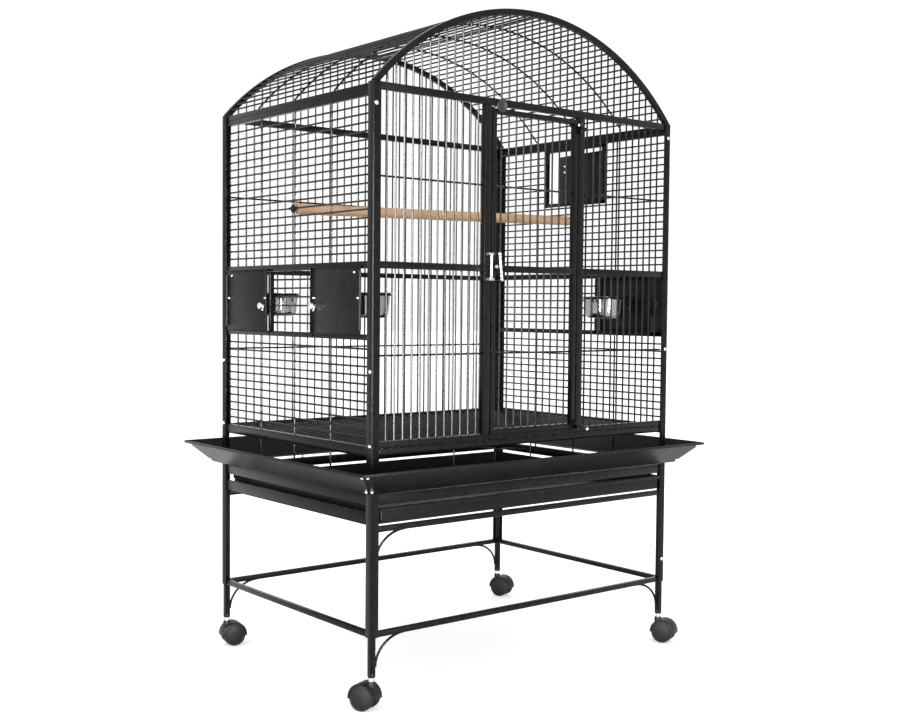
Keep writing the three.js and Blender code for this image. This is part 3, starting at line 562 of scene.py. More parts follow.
def plastic_material(name, colour, roughness, grain):
    """Moulded nylon: fine spark texture, faint flow marks and scuffs."""
    made, s, place, shader, relief = new_material(name, 0.12, 0.0003)
    fine = s.noise(place, grain, 2.0)
    flow = s.noise(place, 30.0, 4.0)
    scuff = s.span(s.noise(place, 120.0, 5.0), 0.6, 0.72, 0.0, 0.4)
    light = tuple(min(1.0, c * 1.6 + 0.003) for c in colour[:3])
    shade = s.mix(s.span(flow, 0.3, 0.7, 0.0, 0.4), opaque(colour), opaque(light))
    shade = s.mix(scuff, shade, (0.014, 0.014, 0.014, 1))
    shader.inputs["Specular IOR Level"].default_value = 0.14
    s.tree.links.new(shade, shader.inputs["Base Color"])
    rough = s.math("ADD", roughness, s.math("MULTIPLY", scuff, 0.25))
    rough = s.math("ADD", rough, s.span(flow, 0.3, 0.7, -0.04, 0.04))
    s.tree.links.new(rough, shader.inputs["Roughness"])
    s.tree.links.new(fine, relief.inputs["Height"])
    return made


# ---- sizes and colours a user may change ----
def colour_of(slot):
    """The record's base colour for a material slot, the starting point of its finish."""
    for entry in frame["record"]["materials"]:
        if entry["slot"] == slot:
            return entry["base_color"]
    return (0.5, 0.5, 0.5)


class CageSizes(bpy.types.PropertyGroup):
    """Small sizes that the solids leave open."""

    edge_round: bpy.props.FloatProperty(
        name="Bar edge radius", description="Radius along the edges of square bars, in millimetres",
        default=1.3, min=0.2, max=4.0,
    )
    bolt_head: bpy.props.FloatProperty(
        name="Bolt head radius", description="Radius of the domed bolt heads, in millimetres",
        default=3.6, min=1.5, max=6.0,
    )
    wire_sides: bpy.props.IntProperty(
        name="Wire sides", description="Sides around each grille wire", default=10, min=6, max=16,
    )
    bowl_sides: bpy.props.IntProperty(
        name="Bowl sides", description="Steps around each bowl", default=72, min=24, max=128,
    )


class CageColours(bpy.types.PropertyGroup):
    """Finish colours."""

    coat: bpy.props.FloatVectorProperty(
        name="Powder coat", description="Colour of the bars and wires", subtype="COLOR",
        size=3, min=0, max=1, default=(0.0026, 0.0026, 0.0028),
    )
    # paler colour for the random flecks and for the painted highlight along sharp edges
    flecks_and_painted_highlight: bpy.props.FloatVectorProperty(
        name="Flecks and painted edge highlight", description="Paler colour of the flecks and of the painted highlight along edges", subtype="COLOR",
        size=3, min=0, max=1, default=(0.03, 0.03, 0.031),
    )
    plate: bpy.props.FloatVectorProperty(
        name="Sheet parts", description="Colour of the coated sheet parts", subtype="COLOR",
        size=3, min=0, max=1, default=(0.0045, 0.0045, 0.0048),
    )
    steel: bpy.props.FloatVectorProperty(
        name="Stainless", description="Colour of the bowls", subtype="COLOR",
        size=3, min=0, max=1, default=(0.34, 0.34, 0.335),
    )
    chrome: bpy.props.FloatVectorProperty(
        name="Bright plate", description="Colour of the latch", subtype="COLOR",
        size=3, min=0, max=1, default=(0.5, 0.5, 0.49),
    )
    wood: bpy.props.FloatVectorProperty(
        name="Perch", description="Colour of the wooden perch", subtype="COLOR",
        size=3, min=0, max=1, default=tuple(colour_of("wood")),
    )
    plastic: bpy.props.FloatVectorProperty(
        name="Caster plastic", description="Colour of the casters", subtype="COLOR",
        size=3, min=0, max=1, default=(0.006, 0.006, 0.0062),
    )


class StageSettings(bpy.types.PropertyGroup):
    """Floor and light."""

    floor: bpy.props.FloatVectorProperty(
        name="Floor", description="Colour of the floor", subtype="COLOR",
        size=3, min=0, max=1, default=(0.9, 0.9, 0.9),
    )
    surround: bpy.props.FloatProperty(
        name="Surround", description="Strength of the even light all round",
        default=1.12, min=0.0, max=5.0,
    )
    floor_glow: bpy.props.FloatProperty(
        name="Floor glow", description="Light that the lit floor gives by itself", default=0.4,
        min=0.0, max=2.0,
    )
    key_power: bpy.props.FloatProperty(
        name="Key light", description="Power of the large front light", subtype="POWER",
        default=40.0, min=0.0, max=1000.0,
    )


def sizes():
    return bpy.context.scene.cage_sizes


# grain scale, roughness, painted edge highlight, dust, bump and specular level of each coat
COATS = {
    "coat_bar": (1100, 0.25, 0.25, 0.01, 0.12, 0.11),
    "coat_wire": (1500, 0.22, 0.15, 0.01, 0.08, 0.14),
    "coat_sheet": (1000, 0.34, 0.25, 0.01, 0.14, 0.1),
    "coat_guard": (1000, 0.34, 0.3, 0.02, 0.12, 0.11),
    "coat_cap": (900, 0.45, 0.3, 0.03, 0.16, 0.25),
}
CAP_GREY = (0.016, 0.016, 0.0165)
TREAD_GREY = (0.008, 0.008, 0.0082)
ZINC, DULL_ZINC = (0.62, 0.62, 0.6), (0.32, 0.32, 0.3)


def material(name):
    """A finish by name, made the first time it is asked for."""
    found = bpy.data.materials.get(name)
    if found:
        return found
    colours = bpy.context.scene.cage_colours
    if name in COATS:
        colour = {"coat_sheet": colours.plate, "coat_cap": CAP_GREY}.get(name, colours.coat)
        return powder_material(name, colour, *COATS[name])
    if name == "latch_chrome":
        return metal_material(name, colours.chrome, (0.14, 0.14, 0.138), 300, 0.12, 0.5)
    if name == "bolt_zinc":
        return metal_material(name, ZINC, DULL_ZINC, 700, 0.26, 0.25)
    if name == "perch_wood":
        return wood_material(colours.wood, (0.42, 0.235, 0.115))
    if name == "caster_shell":
        return plastic_material(name, colours.plastic, 0.42, 1800)
    if name == "caster_tread":
        return plastic_material(name, TREAD_GREY, 0.5, 1200)
    raise RuntimeError(f"no finish named {name}")


def bowl_steel(key, centre):
    """Stainless with its drawn rings centred on one bowl."""
    colour = bpy.context.scene.cage_colours.steel
    name = f"bowl_steel_{key}"
    return metal_material(name, colour, (0.12, 0.12, 0.118), 900, 0.07, 0.1, centre)


# ---- corner angles and their bolts ----
class CAGE_OT_corner_angles(bpy.types.Operator):
    """Four rolled steel angles that tie the panels together, with their bolts"""

    bl_idname = "cage.corner_angles"
    bl_label = "Corner angles"

    def execute(self, context):
        leg, t, r = ANGLE_LEG, ANGLE_T, CORNER_R
        turn = [math.pi / 2 * i / 6 for i in range(7)]
        outer = [(HX - r + r * math.cos(a), HY - r + r * math.sin(a)) for a in turn]
        for key, (sx, sy) in CORNERS.items():
            outline = [
                *outer, (HX - leg, HY), (HX - leg, HY - t),
                (HX - t, HY - t), (HX - t, HY - leg), (HX, HY - leg),
            ]
            bm = bmesh.new()
            points = [(x * sx, y * sy, ANGLE_BOTTOM_Z) for x, y in outline]
            pulled(bm, points, SHOULDER_Z - ANGLE_BOTTOM_Z, 0.6)
            name = f"angle_{key}"
            finish_piece(bm, name, "frame", "coat_bar", [f"corner_angle_{key}"])
            bm = bmesh.new()
            head = sizes().bolt_head
            faces, sides = ANGLE_BOLTS[key]
            for z in faces:
                bolt(bm, (sx * (HX - 8), sy * HY, z), (0, sy, 0), head)
            for z in sides:
                bolt(bm, (sx * HX, sy * (HY - 8), z), (sx, 0, 0), head)
            finish_piece(bm, f"angle_bolts_{key}", "frame", "bolt_zinc")
        return {"FINISHED"}


# ---- stand ----
def brace(bm, end, y, z):
    """A quarter-round brace from a leg up to the underside of a rail."""
    corner = OUT_X - LEG_SQ - 0.3 - BRACE_R
    points = []
    for i in range(15):
        a = math.pi / 2 * i / 14
        x = corner - BRACE_REACH * (1 - math.cos(a))
        points.append((end * x, y, z - BRACE_DROP * (1 - math.sin(a))))
    bent(bm, points, BRACE_R, 14)


class CAGE_OT_stand(bpy.types.Operator):
    """Stand: legs, rails, tray runners and curved braces"""

    bl_idname = "cage.stand"
    bl_label = "Stand"

    def execute(self, context):
        edge = sizes().edge_round
        runner = TRAY_LOW[2] - 2.3
        for s, label in ((-1, "left"), (1, "right")):
            bm = bmesh.new()
            for e in (-1, 1):
                low = (s * (OUT_X - LEG_SQ), e * (OUT_Y - LEG_SQ), LEG_BOTTOM_Z)
                bar(bm, low, (s * OUT_X, e * OUT_Y, BASE_TOP_Z), edge)
            y = OUT_Y - LEG_SQ + 2
            bar(bm, (s * IN_X, -y, LOW_RAIL_Z), (s * OUT_X, y, LOW_RAIL_Z + BAR), edge)
            bar(bm, (s * (OUT_X - 2), -y, runner), (s * OUT_X, y, runner + 27), 0.6)
            bar(bm, (s * (OUT_X - 34), 3 - y, runner), (s * OUT_X, y - 3, runner + 2), 0.6)
            node = f"stand_side_{label}"
            finish_piece(bm, f"stand_{label}", "frame", "coat_bar", [node])
        for sy, label in ((-1, "front"), (1, "back")):
            upper_ends = (-1,) if sy < 0 else ()
            rails = (("lower", LOW_RAIL_Z, (-1, 1)), ("upper", HIGH_RAIL_Z, upper_ends))
            for level, z, ends in rails:  # ends that have a brace
                bm = bmesh.new()
                x = OUT_X - LEG_SQ - 0.3
                bar(bm, (-x, sy * IN_Y, z), (x, sy * OUT_Y, z + BAR), edge)
                for e in ends:
                    brace(bm, e, sy * WIRE_Y, z + 1)
                node = f"{level}_rail_{label}"
                finish_piece(bm, f"rail_{level}_{label}", "frame", "coat_bar", [node])
            bm = bmesh.new()
            bar(bm, (-BAR_X, sy * IN_Y, BASE_Z), (BAR_X, sy * OUT_Y, BASE_TOP_Z), edge)
            top = span(f"base_bar_{label}")[1][2]
            y = sy * (WIRE_Y - 2.4)
            for x in (-ROD_X, 0, ROD_X):
                rod(bm, (x, y, BASE_Z + 4), (x, y, top), 1.6, sizes().wire_sides)
            node = f"base_bar_{label}"
            finish_piece(bm, f"base_{label}", "frame", "coat_bar", [node])
        return {"FINISHED"}


# ---- side panels ----
def side_bar(bm, s, z, height, y0=-BAR_Y, y1=BAR_Y):
    """A level bar of a side panel."""
    bar(bm, (s * IN_X, y0, z), (s * OUT_X, y1, z + height), sizes().edge_round)


def side_wire(bm, s, z, y0=-BAR_Y, y1=BAR_Y):
    """A level wire of a side panel."""
    wire(bm, (s * WIRE_X, y0, z), (s * WIRE_X, y1, z))


def side_upright(bm, s, y, z0, z1):
    """An upright wire of a side panel, behind its level wires."""
    x = s * SIDE_UPRIGHT_X
    wire(bm, (x, y, z0), (x, y, z1))


class CAGE_OT_sides(bpy.types.Operator):
    """Side panels: bars and welded round wires, with the feeder and nest openings left clear"""

    bl_idname = "cage.sides"
    bl_label = "Side panels"

    def execute(self, context):
        for s, label in ((-1, "left"), (1, "right")):
            self.upper(s, label)
            self.band(s, label)
            self.lower(s, label)
        return {"FINISHED"}

    def upper(self, s, label):
        bm = bmesh.new()
        top = span(f"side_{label}_upper")[1][2] - 25
        side_bar(bm, s, MID_Z, MID_TOP_Z - MID_Z)
        side_bar(bm, s, top, BAR)
        side_bar(bm, s, top + BAR, BAR + 1)
        y0, y1, z0, z1 = NEST_FRAME
        step = (top - MID_TOP_Z) / (UPPER_ROWS + 1)
        for i in range(1, UPPER_ROWS + 1):
            z = MID_TOP_Z + i * step
            if s > 0 and z > z0:
                side_wire(bm, s, z, -BAR_Y, y0 + 5)
                side_wire(bm, s, z, y1 - 5, BAR_Y)
            else:
                side_wire(bm, s, z)
        for y in UPRIGHTS:
            cut = s > 0 and y0 < y < y1
            side_upright(bm, s, y, MID_Z + 5, z0 + 5 if cut else top + 5)
        if s > 0:
            for a, b in ((y0, y0 + 12), (y1 - 12, y1)):
                bar(bm, (s * (IN_X + 1.5), a, z0), (s * OUT_X, b, z1), 1.0)
            bar(bm, (s * (IN_X + 1.5), y0, z0), (s * OUT_X, y1, z0 + 10), 1.0)
            bar(bm, (s * (IN_X + 1.5), y0, z1 - 10), (s * OUT_X, y1, z1), 1.0)
        node = f"side_{label}_upper"
        finish_piece(bm, f"grille_{label}_upper", "frame", "coat_wire", [node])

    def band(self, s, label):
        bm = bmesh.new()
        low = FEED_LOW_Z
        side_bar(bm, s, low, BAR)
        step = (MID_Z - low - BAR) / (BAND_ROWS + 1)
        first, last = FEED_FILL[label]
        for y in (first, last - 8):
            bar(bm, (s * IN_X, y, low + 2), (s * OUT_X, y + 8, MID_Z - 0.3), 1.0)
        if s > 0:
            end = FEED_Y["rf"] - 100
            bar(bm, (s * IN_X, -BAR_Y, low + 2), (s * OUT_X, end, MID_Z - 0.3), 1.0)
        for i in range(1, BAND_ROWS + 1):
            side_wire(bm, s, low + BAR + i * step, first + 2, last - 2)
        node = f"side_{label}_band"
        finish_piece(bm, f"grille_{label}_band", "frame", "coat_wire", [node])

    def lower(self, s, label):
        bm = bmesh.new()
        side_bar(bm, s, LOW_BAR_Z, LOW_BAR_TOP_Z - LOW_BAR_Z)
        base = OUT_Y - LEG_SQ - 0.3
        side_bar(bm, s, BASE_Z, BASE_TOP_Z - BASE_Z, -base, base)
        step = (FEED_LOW_Z - LOW_BAR_TOP_Z) / (LOWER_ROWS + 1)
        for i in range(1, LOWER_ROWS + 1):
            side_wire(bm, s, LOW_BAR_TOP_Z + i * step)
        for y in UPRIGHTS:
            side_upright(bm, s, y, BASE_Z + 5, FEED_LOW_Z - 0.3)
        node = f"side_{label}_lower"
        finish_piece(bm, f"grille_{label}_lower", "frame", "coat_wire", [node])


# ---- front, back and dome ----
def front_upright(bm, x, y, z0, z1):
    """An upright wire of the front, the back or an arched end."""
    wire(bm, (x, y, z0), (x, y, z1))


def on_arc(radius, angle):
    """Place in x and z on a circle about the dome's centre, at an angle from its crown."""
    return radius * math.sin(angle), ARC_Z + radius * math.cos(angle)


class CAGE_OT_front_and_back(bpy.types.Operator):
    """Front wings, sill and back panel with round upright wires and their cross wires"""

    bl_idname = "cage.front_and_back"
    bl_label = "Front and back panels"

    def execute(self, context):
        edge = sizes().edge_round
        bm = bmesh.new()
        bar(bm, SILL_LOW, SILL_HIGH, edge)
        finish_piece(bm, "sill", "frame", "coat_bar", ["front_sill"])
        for s, label in ((-1, "left"), (1, "right")):
            node = f"front_wing_{label}"
            low, high = span(node)
            z0, z1 = low[2], high[2]
            bm = bmesh.new()
            bar(bm, (s * DIVIDER[0], -OUT_Y - 1.5, z0), (s * DIVIDER[1], -IN_Y, z1), 1.6)
            bar(bm, (s * (DIVIDER[1] - 2), -OUT_Y, MID_Z), (s * BAR_X, -IN_Y, MID_TOP_Z), edge)
            for x in level_wires(DIVIDER[1], HX - ANGLE_LEG):
                front_upright(bm, s * x, -WIRE_Y, z0, z1)
            for z in FRONT_CROSS:
                start, end = (s * (DIVIDER[1] - 3), -CROSS_Y, z), (s * BAR_X, -CROSS_Y, z)
                wire(bm, start, end)
            if s > 0:
                for z in (DOOR_LOW[2] + 4, DOOR_HIGH[2] - 22):
                    lug = (HINGE[0] - 4.5, HINGE[1] - 4.5, z - 4)
                    bar(bm, lug, (DIVIDER[1] - 4, -OUT_Y, z + 4), 1.0)
            finish_piece(bm, f"wing_{label}", "frame", "coat_wire", [node])
        bm = bmesh.new()
        bar(bm, (-BAR_X, IN_Y, LOW_BAR_Z), (BAR_X, OUT_Y, LOW_BAR_TOP_Z), edge)
        bar(bm, (-BAR_X, IN_Y, MID_Z - 2), (BAR_X, OUT_Y, MID_TOP_Z - 4), edge)
        for x in level_wires(-HX, HX - ANGLE_LEG):
            front_upright(bm, x, WIRE_Y, LOW_BAR_Z + 5, span("back_panel")[1][2])
        for z in BACK_CROSS:
            wire(bm, (-BAR_X, CROSS_Y, z), (BAR_X, CROSS_Y, z))
        finish_piece(bm, "back_grille", "frame", "coat_wire", ["back_panel"])
        return {"FINISHED"}


class CAGE_OT_dome(bpy.types.Operator):
    """Arched ends and the dome: curved tubes, upright wires, level wires and hoops"""

    bl_idname = "cage.dome"
    bl_label = "Dome"

    def execute(self, context):
        edge = sizes().edge_round
        r, c = ARC_R - ARCH_T, 1.4  # inner radius and the width of the chamfered edges
        arch = [(r, IN_Y + c), (r + c, IN_Y), (ARC_R - c, IN_Y), (ARC_R, IN_Y + c)]
        arch += [(ARC_R, OUT_Y - c), (ARC_R - c, OUT_Y), (r + c, OUT_Y), (r, OUT_Y - c)]
        reach = ARC_A - 0.0066  # the tube stops just short of the side panels
        for sy, label in ((-1, "front"), (1, "back")):
            bm = bmesh.new()
            outline = [(radius, sy * y) for radius, y in arch]
            swept_arc(bm, outline, (0, ARC_Z), -reach, reach, 72)
            low = (-BAR_X, sy * IN_Y, SHOULDER_Z - 16)
            bar(bm, low, (BAR_X, sy * OUT_Y, SHOULDER_Z), edge)
            for x in level_wires(-HX, HX - ANGLE_LEG):
                top = ARC_Z + math.sqrt((ARC_R - ARCH_T / 2) ** 2 - x * x)
                front_upright(bm, x, sy * WIRE_Y, SHOULDER_Z - 6, top)
            node = f"arch_{label}"
            finish_piece(bm, f"dome_end_{label}", "frame", "coat_wire", [node])
        panels = {
            "left": (-DOME_LAST - 1, -DOME_SPLIT),
            "crown": (-DOME_SPLIT, DOME_SPLIT),
            "right": (DOME_SPLIT, DOME_LAST + 1),
        }
        turn = DOME_PITCH / ARC_R
        hoop_end = ARC_A - 0.011
        y = IN_Y - 0.3
        for label, (first, last) in panels.items():
            bm = bmesh.new()
            for i in range(-DOME_LAST, DOME_LAST + 1):
                if first < i < last:
                    x, z = on_arc(DOME_WIRE_R, i * turn)
                    wire(bm, (x, -y, z), (x, y, z))
            a0, a1 = max(-hoop_end, first * turn), min(hoop_end, last * turn)
            radius = DOME_WIRE_R - WIRE + WIRE_SINK
            for row in (-1, 0, 1):
                line = []
                for k in range(25):
                    x, z = on_arc(radius, a0 + (a1 - a0) * k / 24)
                    line.append((x, row * HOOP_STEP, z))
                bent(bm, line, WIRE_R, sizes().wire_sides)
            name = f"dome_grille_{label}"
            finish_piece(bm, name, "frame", "coat_wire", [f"dome_{label}"])
        bm = bmesh.new()
        bar(bm, *span("ridge_bar"), 0.8)
        finish_piece(bm, "ridge_strip", "frame", "coat_bar", ["ridge_bar"])
        return {"FINISHED"}


# ---- main door and latch ----
class CAGE_OT_main_door(bpy.types.Operator):
    """Main door: square frame, wires, hinge pins, latch plate and the round stop at its top"""

    bl_idname = "cage.main_door"
    bl_label = "Main door"

    def execute(self, context):
        x, y0, y1 = DOOR_HALF, -OUT_Y - 1.5, -IN_Y
        z0, z1 = DOOR_LOW[2], DOOR_HIGH[2]
        bm = bmesh.new()
        for low, high in (
            ((-x, y0, z0), (-x + BAR, y1, z1)),
            ((x - BAR, y0, z0), (x, y1, z1)),
            ((-x + 1, y0 + 0.2, z0), (x - 1, y1, z0 + BAR)),
            ((-x + 1, y0 + 0.2, z1 - BAR), (x - 1, y1, z1)),
            ((-x + 2, y0 + 1, MID_Z), (x - 2, y1, MID_TOP_Z)),
        ):
            bar(bm, low, high, sizes().edge_round)
        for w in level_wires(-x + BAR, x - BAR):
            front_upright(bm, w, -WIRE_Y, z0 + 5, z1 - 5)
        for z in FRONT_CROSS:
            wire(bm, (-x + 5, -CROSS_Y, z), (x - 5, -CROSS_Y, z))
        pin = [(0, -16), (2.0, -16), (2.5, -15.4), (2.5, 3.4)]
        pin += [(3.4, 3.6), (3.4, 5), (2.4, 6), (0, 6.2)]
        for z in (z0 + 12, z1 - 14):
            bar(bm, (x - BAR + 2, HINGE[1] - 2.5, z - 3), (HINGE[0] + 2, y0 + 2, z + 3), 0.8)
            turned(bm, pin, Matrix.Translation((*HINGE, z)), 20)
        rim = [(0, 0), (15, 0), (15, 1.8), (14.2, 3.0), (12.8, 3.0), (12.2, 2.3), (0, 2.3)]
        turned(bm, rim, facing((LATCH[0] + 12, y0 + 0.8, LATCH[1]), (0, -1, 0)), 48)
        finish_piece(bm, "door", "main_door", "coat_wire", ["main_door"])
        low, high = span("door_stop")
        bm = bmesh.new()
        centre = ((low[0] + high[0]) / 2, -OUT_Y - 2.2, high[2] - 15)
        rim = [(0, 0), (15, 0), (15, 1.6), (14, 2.9), (12.4, 2.9), (11.6, 2.4), (0, 2.4)]
        turned(bm, rim, facing(centre, (0, -1, 0)), 48)
        bar(bm, (centre[0] - 4, y0 - 2.2, centre[2] - 14), (centre[0] + 4, y0, centre[2] - 8), 0.4)
        finish_piece(bm, "door_stop_disc", "main_door", "coat_cap", ["door_stop"])
        bm = bmesh.new()
        head = sizes().bolt_head
        bolt(bm, (x - 7, HINGE[1] - 2.4, z1 - 14), (0, -1, 0), head * 0.7)
        finish_piece(bm, "door_bolts", "main_door", "bolt_zinc")
        bm = bmesh.new()
        bolt(bm, (SILL_BOLT_X, -OUT_Y, SILL_LOW[2] + 7), (0, -1, 0), head)
        finish_piece(bm, "sill_bolt", "frame", "bolt_zinc")
        return {"FINISHED"}


def barrel(length, shaft, ball):
    """Line of a turned rod with a ball and collar at each end."""
    half = length / 2
    line = []
    for i in range(9):
        a = math.pi * i / 8 * 0.8
        line.append((ball * math.sin(a), ball - ball * math.cos(a) - half))
    line += [(shaft, -half + ball * 1.9), (shaft * 0.86, -half * 0.4), (shaft * 0.86, 0)]
    return line + [(r, -z) for r, z in reversed(line[:-1])]


class CAGE_OT_latch(bpy.types.Operator):
    """Bright plated latch: a turning lever on the door and the keeper rod on the post beside it"""

    bl_idname = "cage.latch"
    bl_label = "Latch"

    def execute(self, context):
        x, z = LATCH
        low, high = span("latch_handle")
        bm = bmesh.new()
        lever_y = low[1] + 1.0
        lean = Matrix.Rotation(math.radians(-7), 4, "Y")
        place = Matrix.Translation((x - 4, lever_y, z)) @ lean
        turned(bm, barrel(66, 3.4, 4.6), place, 28)
        hub = [(0, 0), (5, 0), (5, 3), (4.2, 4), (4.2, 9), (5.4, 10), (5.4, 13), (4.4, 15), (0, 15)]
        turned(bm, hub, facing((x, high[1], z), (0, -1, 0)), 28)
        tongue = high[1] - 11
        bar(bm, (x - 16, tongue - 2.4, z - 3), (x, tongue, z + 3), 0.7)
        finish_piece(bm, "latch_lever", "latch", "latch_chrome", ["latch_handle"])
        low, high = span("latch_keeper")
        bm = bmesh.new()
        xm = (low[0] + high[0]) / 2
        rod_y = low[1] + 3.5  # far enough behind the lever to let it turn
        turned(bm, barrel(60, 3.6, 4.2), Matrix.Translation((xm, rod_y, z)), 28)
        back = high[1]
        for e in (-1, 1):
            ends = sorted((z + e * 25, z + e * 31))
            bar(bm, (xm - 8, rod_y - 1.5, ends[0]), (xm + 8, back, ends[1]), 1.2)
        finish_piece(bm, "latch_rod", "frame", "latch_chrome", ["latch_keeper"])
        return {"FINISHED"}


# ---- feeders and bowls ----
class CAGE_OT_feeders(bpy.types.Operator):
    """Swing-out feeder doors with knobs, bowl rings and pressed bowls"""

    bl_idname = "cage.feeders"
    bl_label = "Feeders"

    def execute(self, context):
        for key, (s, end) in FEEDERS.items():
            self.plate(key, s, end)
            self.knob(key, s, end)
            self.ring(key, s)
            self.bowl(key, s)
        return {"FINISHED"}

    def plate(self, key, s, end):
        node = f"feeder_door_{key}"
        low, high = span(node)
        y = FEED_Y[key]
        y0, y1, z0, z1 = y - FEED_HALF, y + FEED_HALF, low[2], high[2]
        outer = PLATE_X + SHEET
        free = y1 if end < 0 else y0
        hinge = y0 if end < 0 else y1
        bm = bmesh.new()
        bar(bm, (s * PLATE_X, y0, z0), (s * outer, y1, z1), 0.5)
        bar(bm, (s * PLATE_X, free - 0.8, z0), (s * (outer + 4), free + 0.8, z1), 0.5)
        bar(bm, (s * PLATE_X, y0, z1 - 1.4), (s * (outer + 3.4), y1, z1), 0.5)
        bar(bm, (s * PLATE_X, y0, z0), (s * (outer + 0.9), y1, z0 + 2.2), 0.6)
        middle = (z0 + z1) / 2
        height = z1 - z0 - 20
        for part in (-1, 0, 1):
            a = middle + part * height / 3 - height / 6 + 0.5
            b = middle + part * height / 3 + height / 6 - 0.5
            x = s * (PLATE_X + 3)
            rod(bm, (x, hinge, a), (x, hinge, b), 3, 18)
        body = f"feeder_{key}"
        finish_piece(bm, f"feeder_plate_{key}", body, "coat_sheet", [node])
        bm = bmesh.new()
        face = s * (outer - 0.1)
        for across, z in ((0.9, 866), (-0.9, 866), (0.76 * end, 920)):
            bolt(bm, (face, y + across * FEED_HALF, z), (s, 0, 0), sizes().bolt_head * 0.62)
        finish_piece(bm, f"feeder_bolts_{key}", body, "bolt_zinc")

    def knob(self, key, s, end):
        node = f"feeder_knob_{key}"
        y = FEED_Y[key] - end * (FEED_HALF - 14)
        z = KNOB_Z
        start = PLATE_X + SHEET + 0.3
        bm = bmesh.new()
        line = [(0, 0), (4, 0), (4, 1.2), (2.8, 1.8), (2.8, 6), (6.4, 7), (8, 8.2), (8, 12)]
        line += [(7.2, 13.6), (5.4, 14.6), (0, 15)]
        turned(bm, line, facing((s * start, y, z), (s, 0, 0)), 36)
        bar(bm, (s * (start + 2), y - 3, z - s * 0.5), (s * (start + 5), y + 3, z + s * 11), 0.7)
        bar(bm, (s * (start + 9), y - 9, z - 2.2), (s * (start + 12), y + 9, z + 2.2), 1.0)
        finish_piece(bm, f"wing_knob_{key}", f"knob_{key}", "bolt_zinc", [node])

    def ring(self, key, s):
        node = f"bowl_ring_{key}"
        top = span(node)[1][2]
        x, y = s * BOWL_X, FEED_Y[key]
        bm = bmesh.new()
        circle = []
        for i in range(17):
            a = math.tau * i / 16
            circle.append((54.5 + 2 * math.cos(a), top - 2 + 2 * math.sin(a)))
        turned(bm, circle, Matrix.Translation((x, y, 0)), 64)
        strap = PLATE_X - 0.3
        bar(bm, (s * (strap - 2), y - 84, top - 12), (s * strap, y + 84, top), 0.6)
        for e in (-1, 1):
            start = (x + s * 36, y + e * 40, top - 2)
            rod(bm, start, (s * (strap - 1), y + e * 40, top - 2), 2, 14)
        finish_piece(bm, f"bowl_hoop_{key}", f"feeder_{key}", "coat_bar", [node])

    def bowl(self, key, s):
        node = f"bowl_{key}"
        low, high = span(node)
        x, y = s * BOWL_X, FEED_Y[key]
        z0, height = low[2], high[2] - low[2]
        outer = [(0, 1.4), (20, 1.4), (23, 0), (40, 0), (43.5, 0.8), (46.6, 3.6), (48.4, 8)]
        outer += [(49.6, 18), (51.2, 36), (51.9, 51.2), (53.5, 52.6), (57, 52.2), (58, 53.4)]
        outer += [(57.6, height - 0.3), (56, height), (52.6, height)]
        inner = [(51.3, height - 0.6), (50.5, 51), (49.9, 36), (48.3, 18), (46.9, 8.8)]
        inner += [(44.8, 4.9), (42, 2.2), (38, 1.4), (24, 1.4), (20.6, 2.8), (0, 2.8)]
        bm = bmesh.new()
        turned(bm, outer + inner, Matrix.Translation((x, y, z0)), sizes().bowl_sides)
        steel = bowl_steel(key, (x, y, z0))
        finish_piece(bm, f"feeding_bowl_{key}", f"bowl_{key}", steel.name, [node])


class CAGE_OT_nest_door(bpy.types.Operator):
    """Nest door: a flanged plate on a knuckled hinge, standing a little open"""

    bl_idname = "cage.nest_door"
    bl_label = "Nest door"

    def execute(self, context):
        w, h = NEST_SIZE
        bm = bmesh.new()
        bar(bm, (0, 0, 0), (SHEET, w, h), 0.5)
        bar(bm, (0, w - 1.5, 0), (6, w, h), 0.5)
        bar(bm, (0, 0, h - 1.5), (6, w, h), 0.5)
        bar(bm, (0, 0, 0), (6, w, 1.5), 0.5)
        for a, b in ((8, 46), (47, 89), (90, h - 8)):
            rod(bm, (0, 0, a), (0, 0, b), 3, 18)
        ajar = Matrix.Rotation(math.radians(-NEST_AJAR), 4, "Z")
        place = Matrix.Translation((HX + 6, NEST_FRAME[0] + 14, NEST_FRAME[2] + 8)) @ ajar
        bmesh.ops.transform(bm, matrix=place, verts=bm.verts)
        finish_piece(bm, "nest_plate", "nest_door", "coat_sheet", ["nest_door"])
        bm = bmesh.new()
        for y, z in ((14, 92), (w - 24, 92), (w - 24, 108)):
            centre = place @ Vector((-0.2, y, z))
            inward = place.to_3x3() @ Vector((-1, 0, 0))
            bolt(bm, centre, inward, sizes().bolt_head * 0.8)
            bolt(bm, place @ Vector((SHEET, y, z)), -inward, sizes().bolt_head * 0.8)
        finish_piece(bm, "nest_bolts", "nest_door", "bolt_zinc")
        return {"FINISHED"}


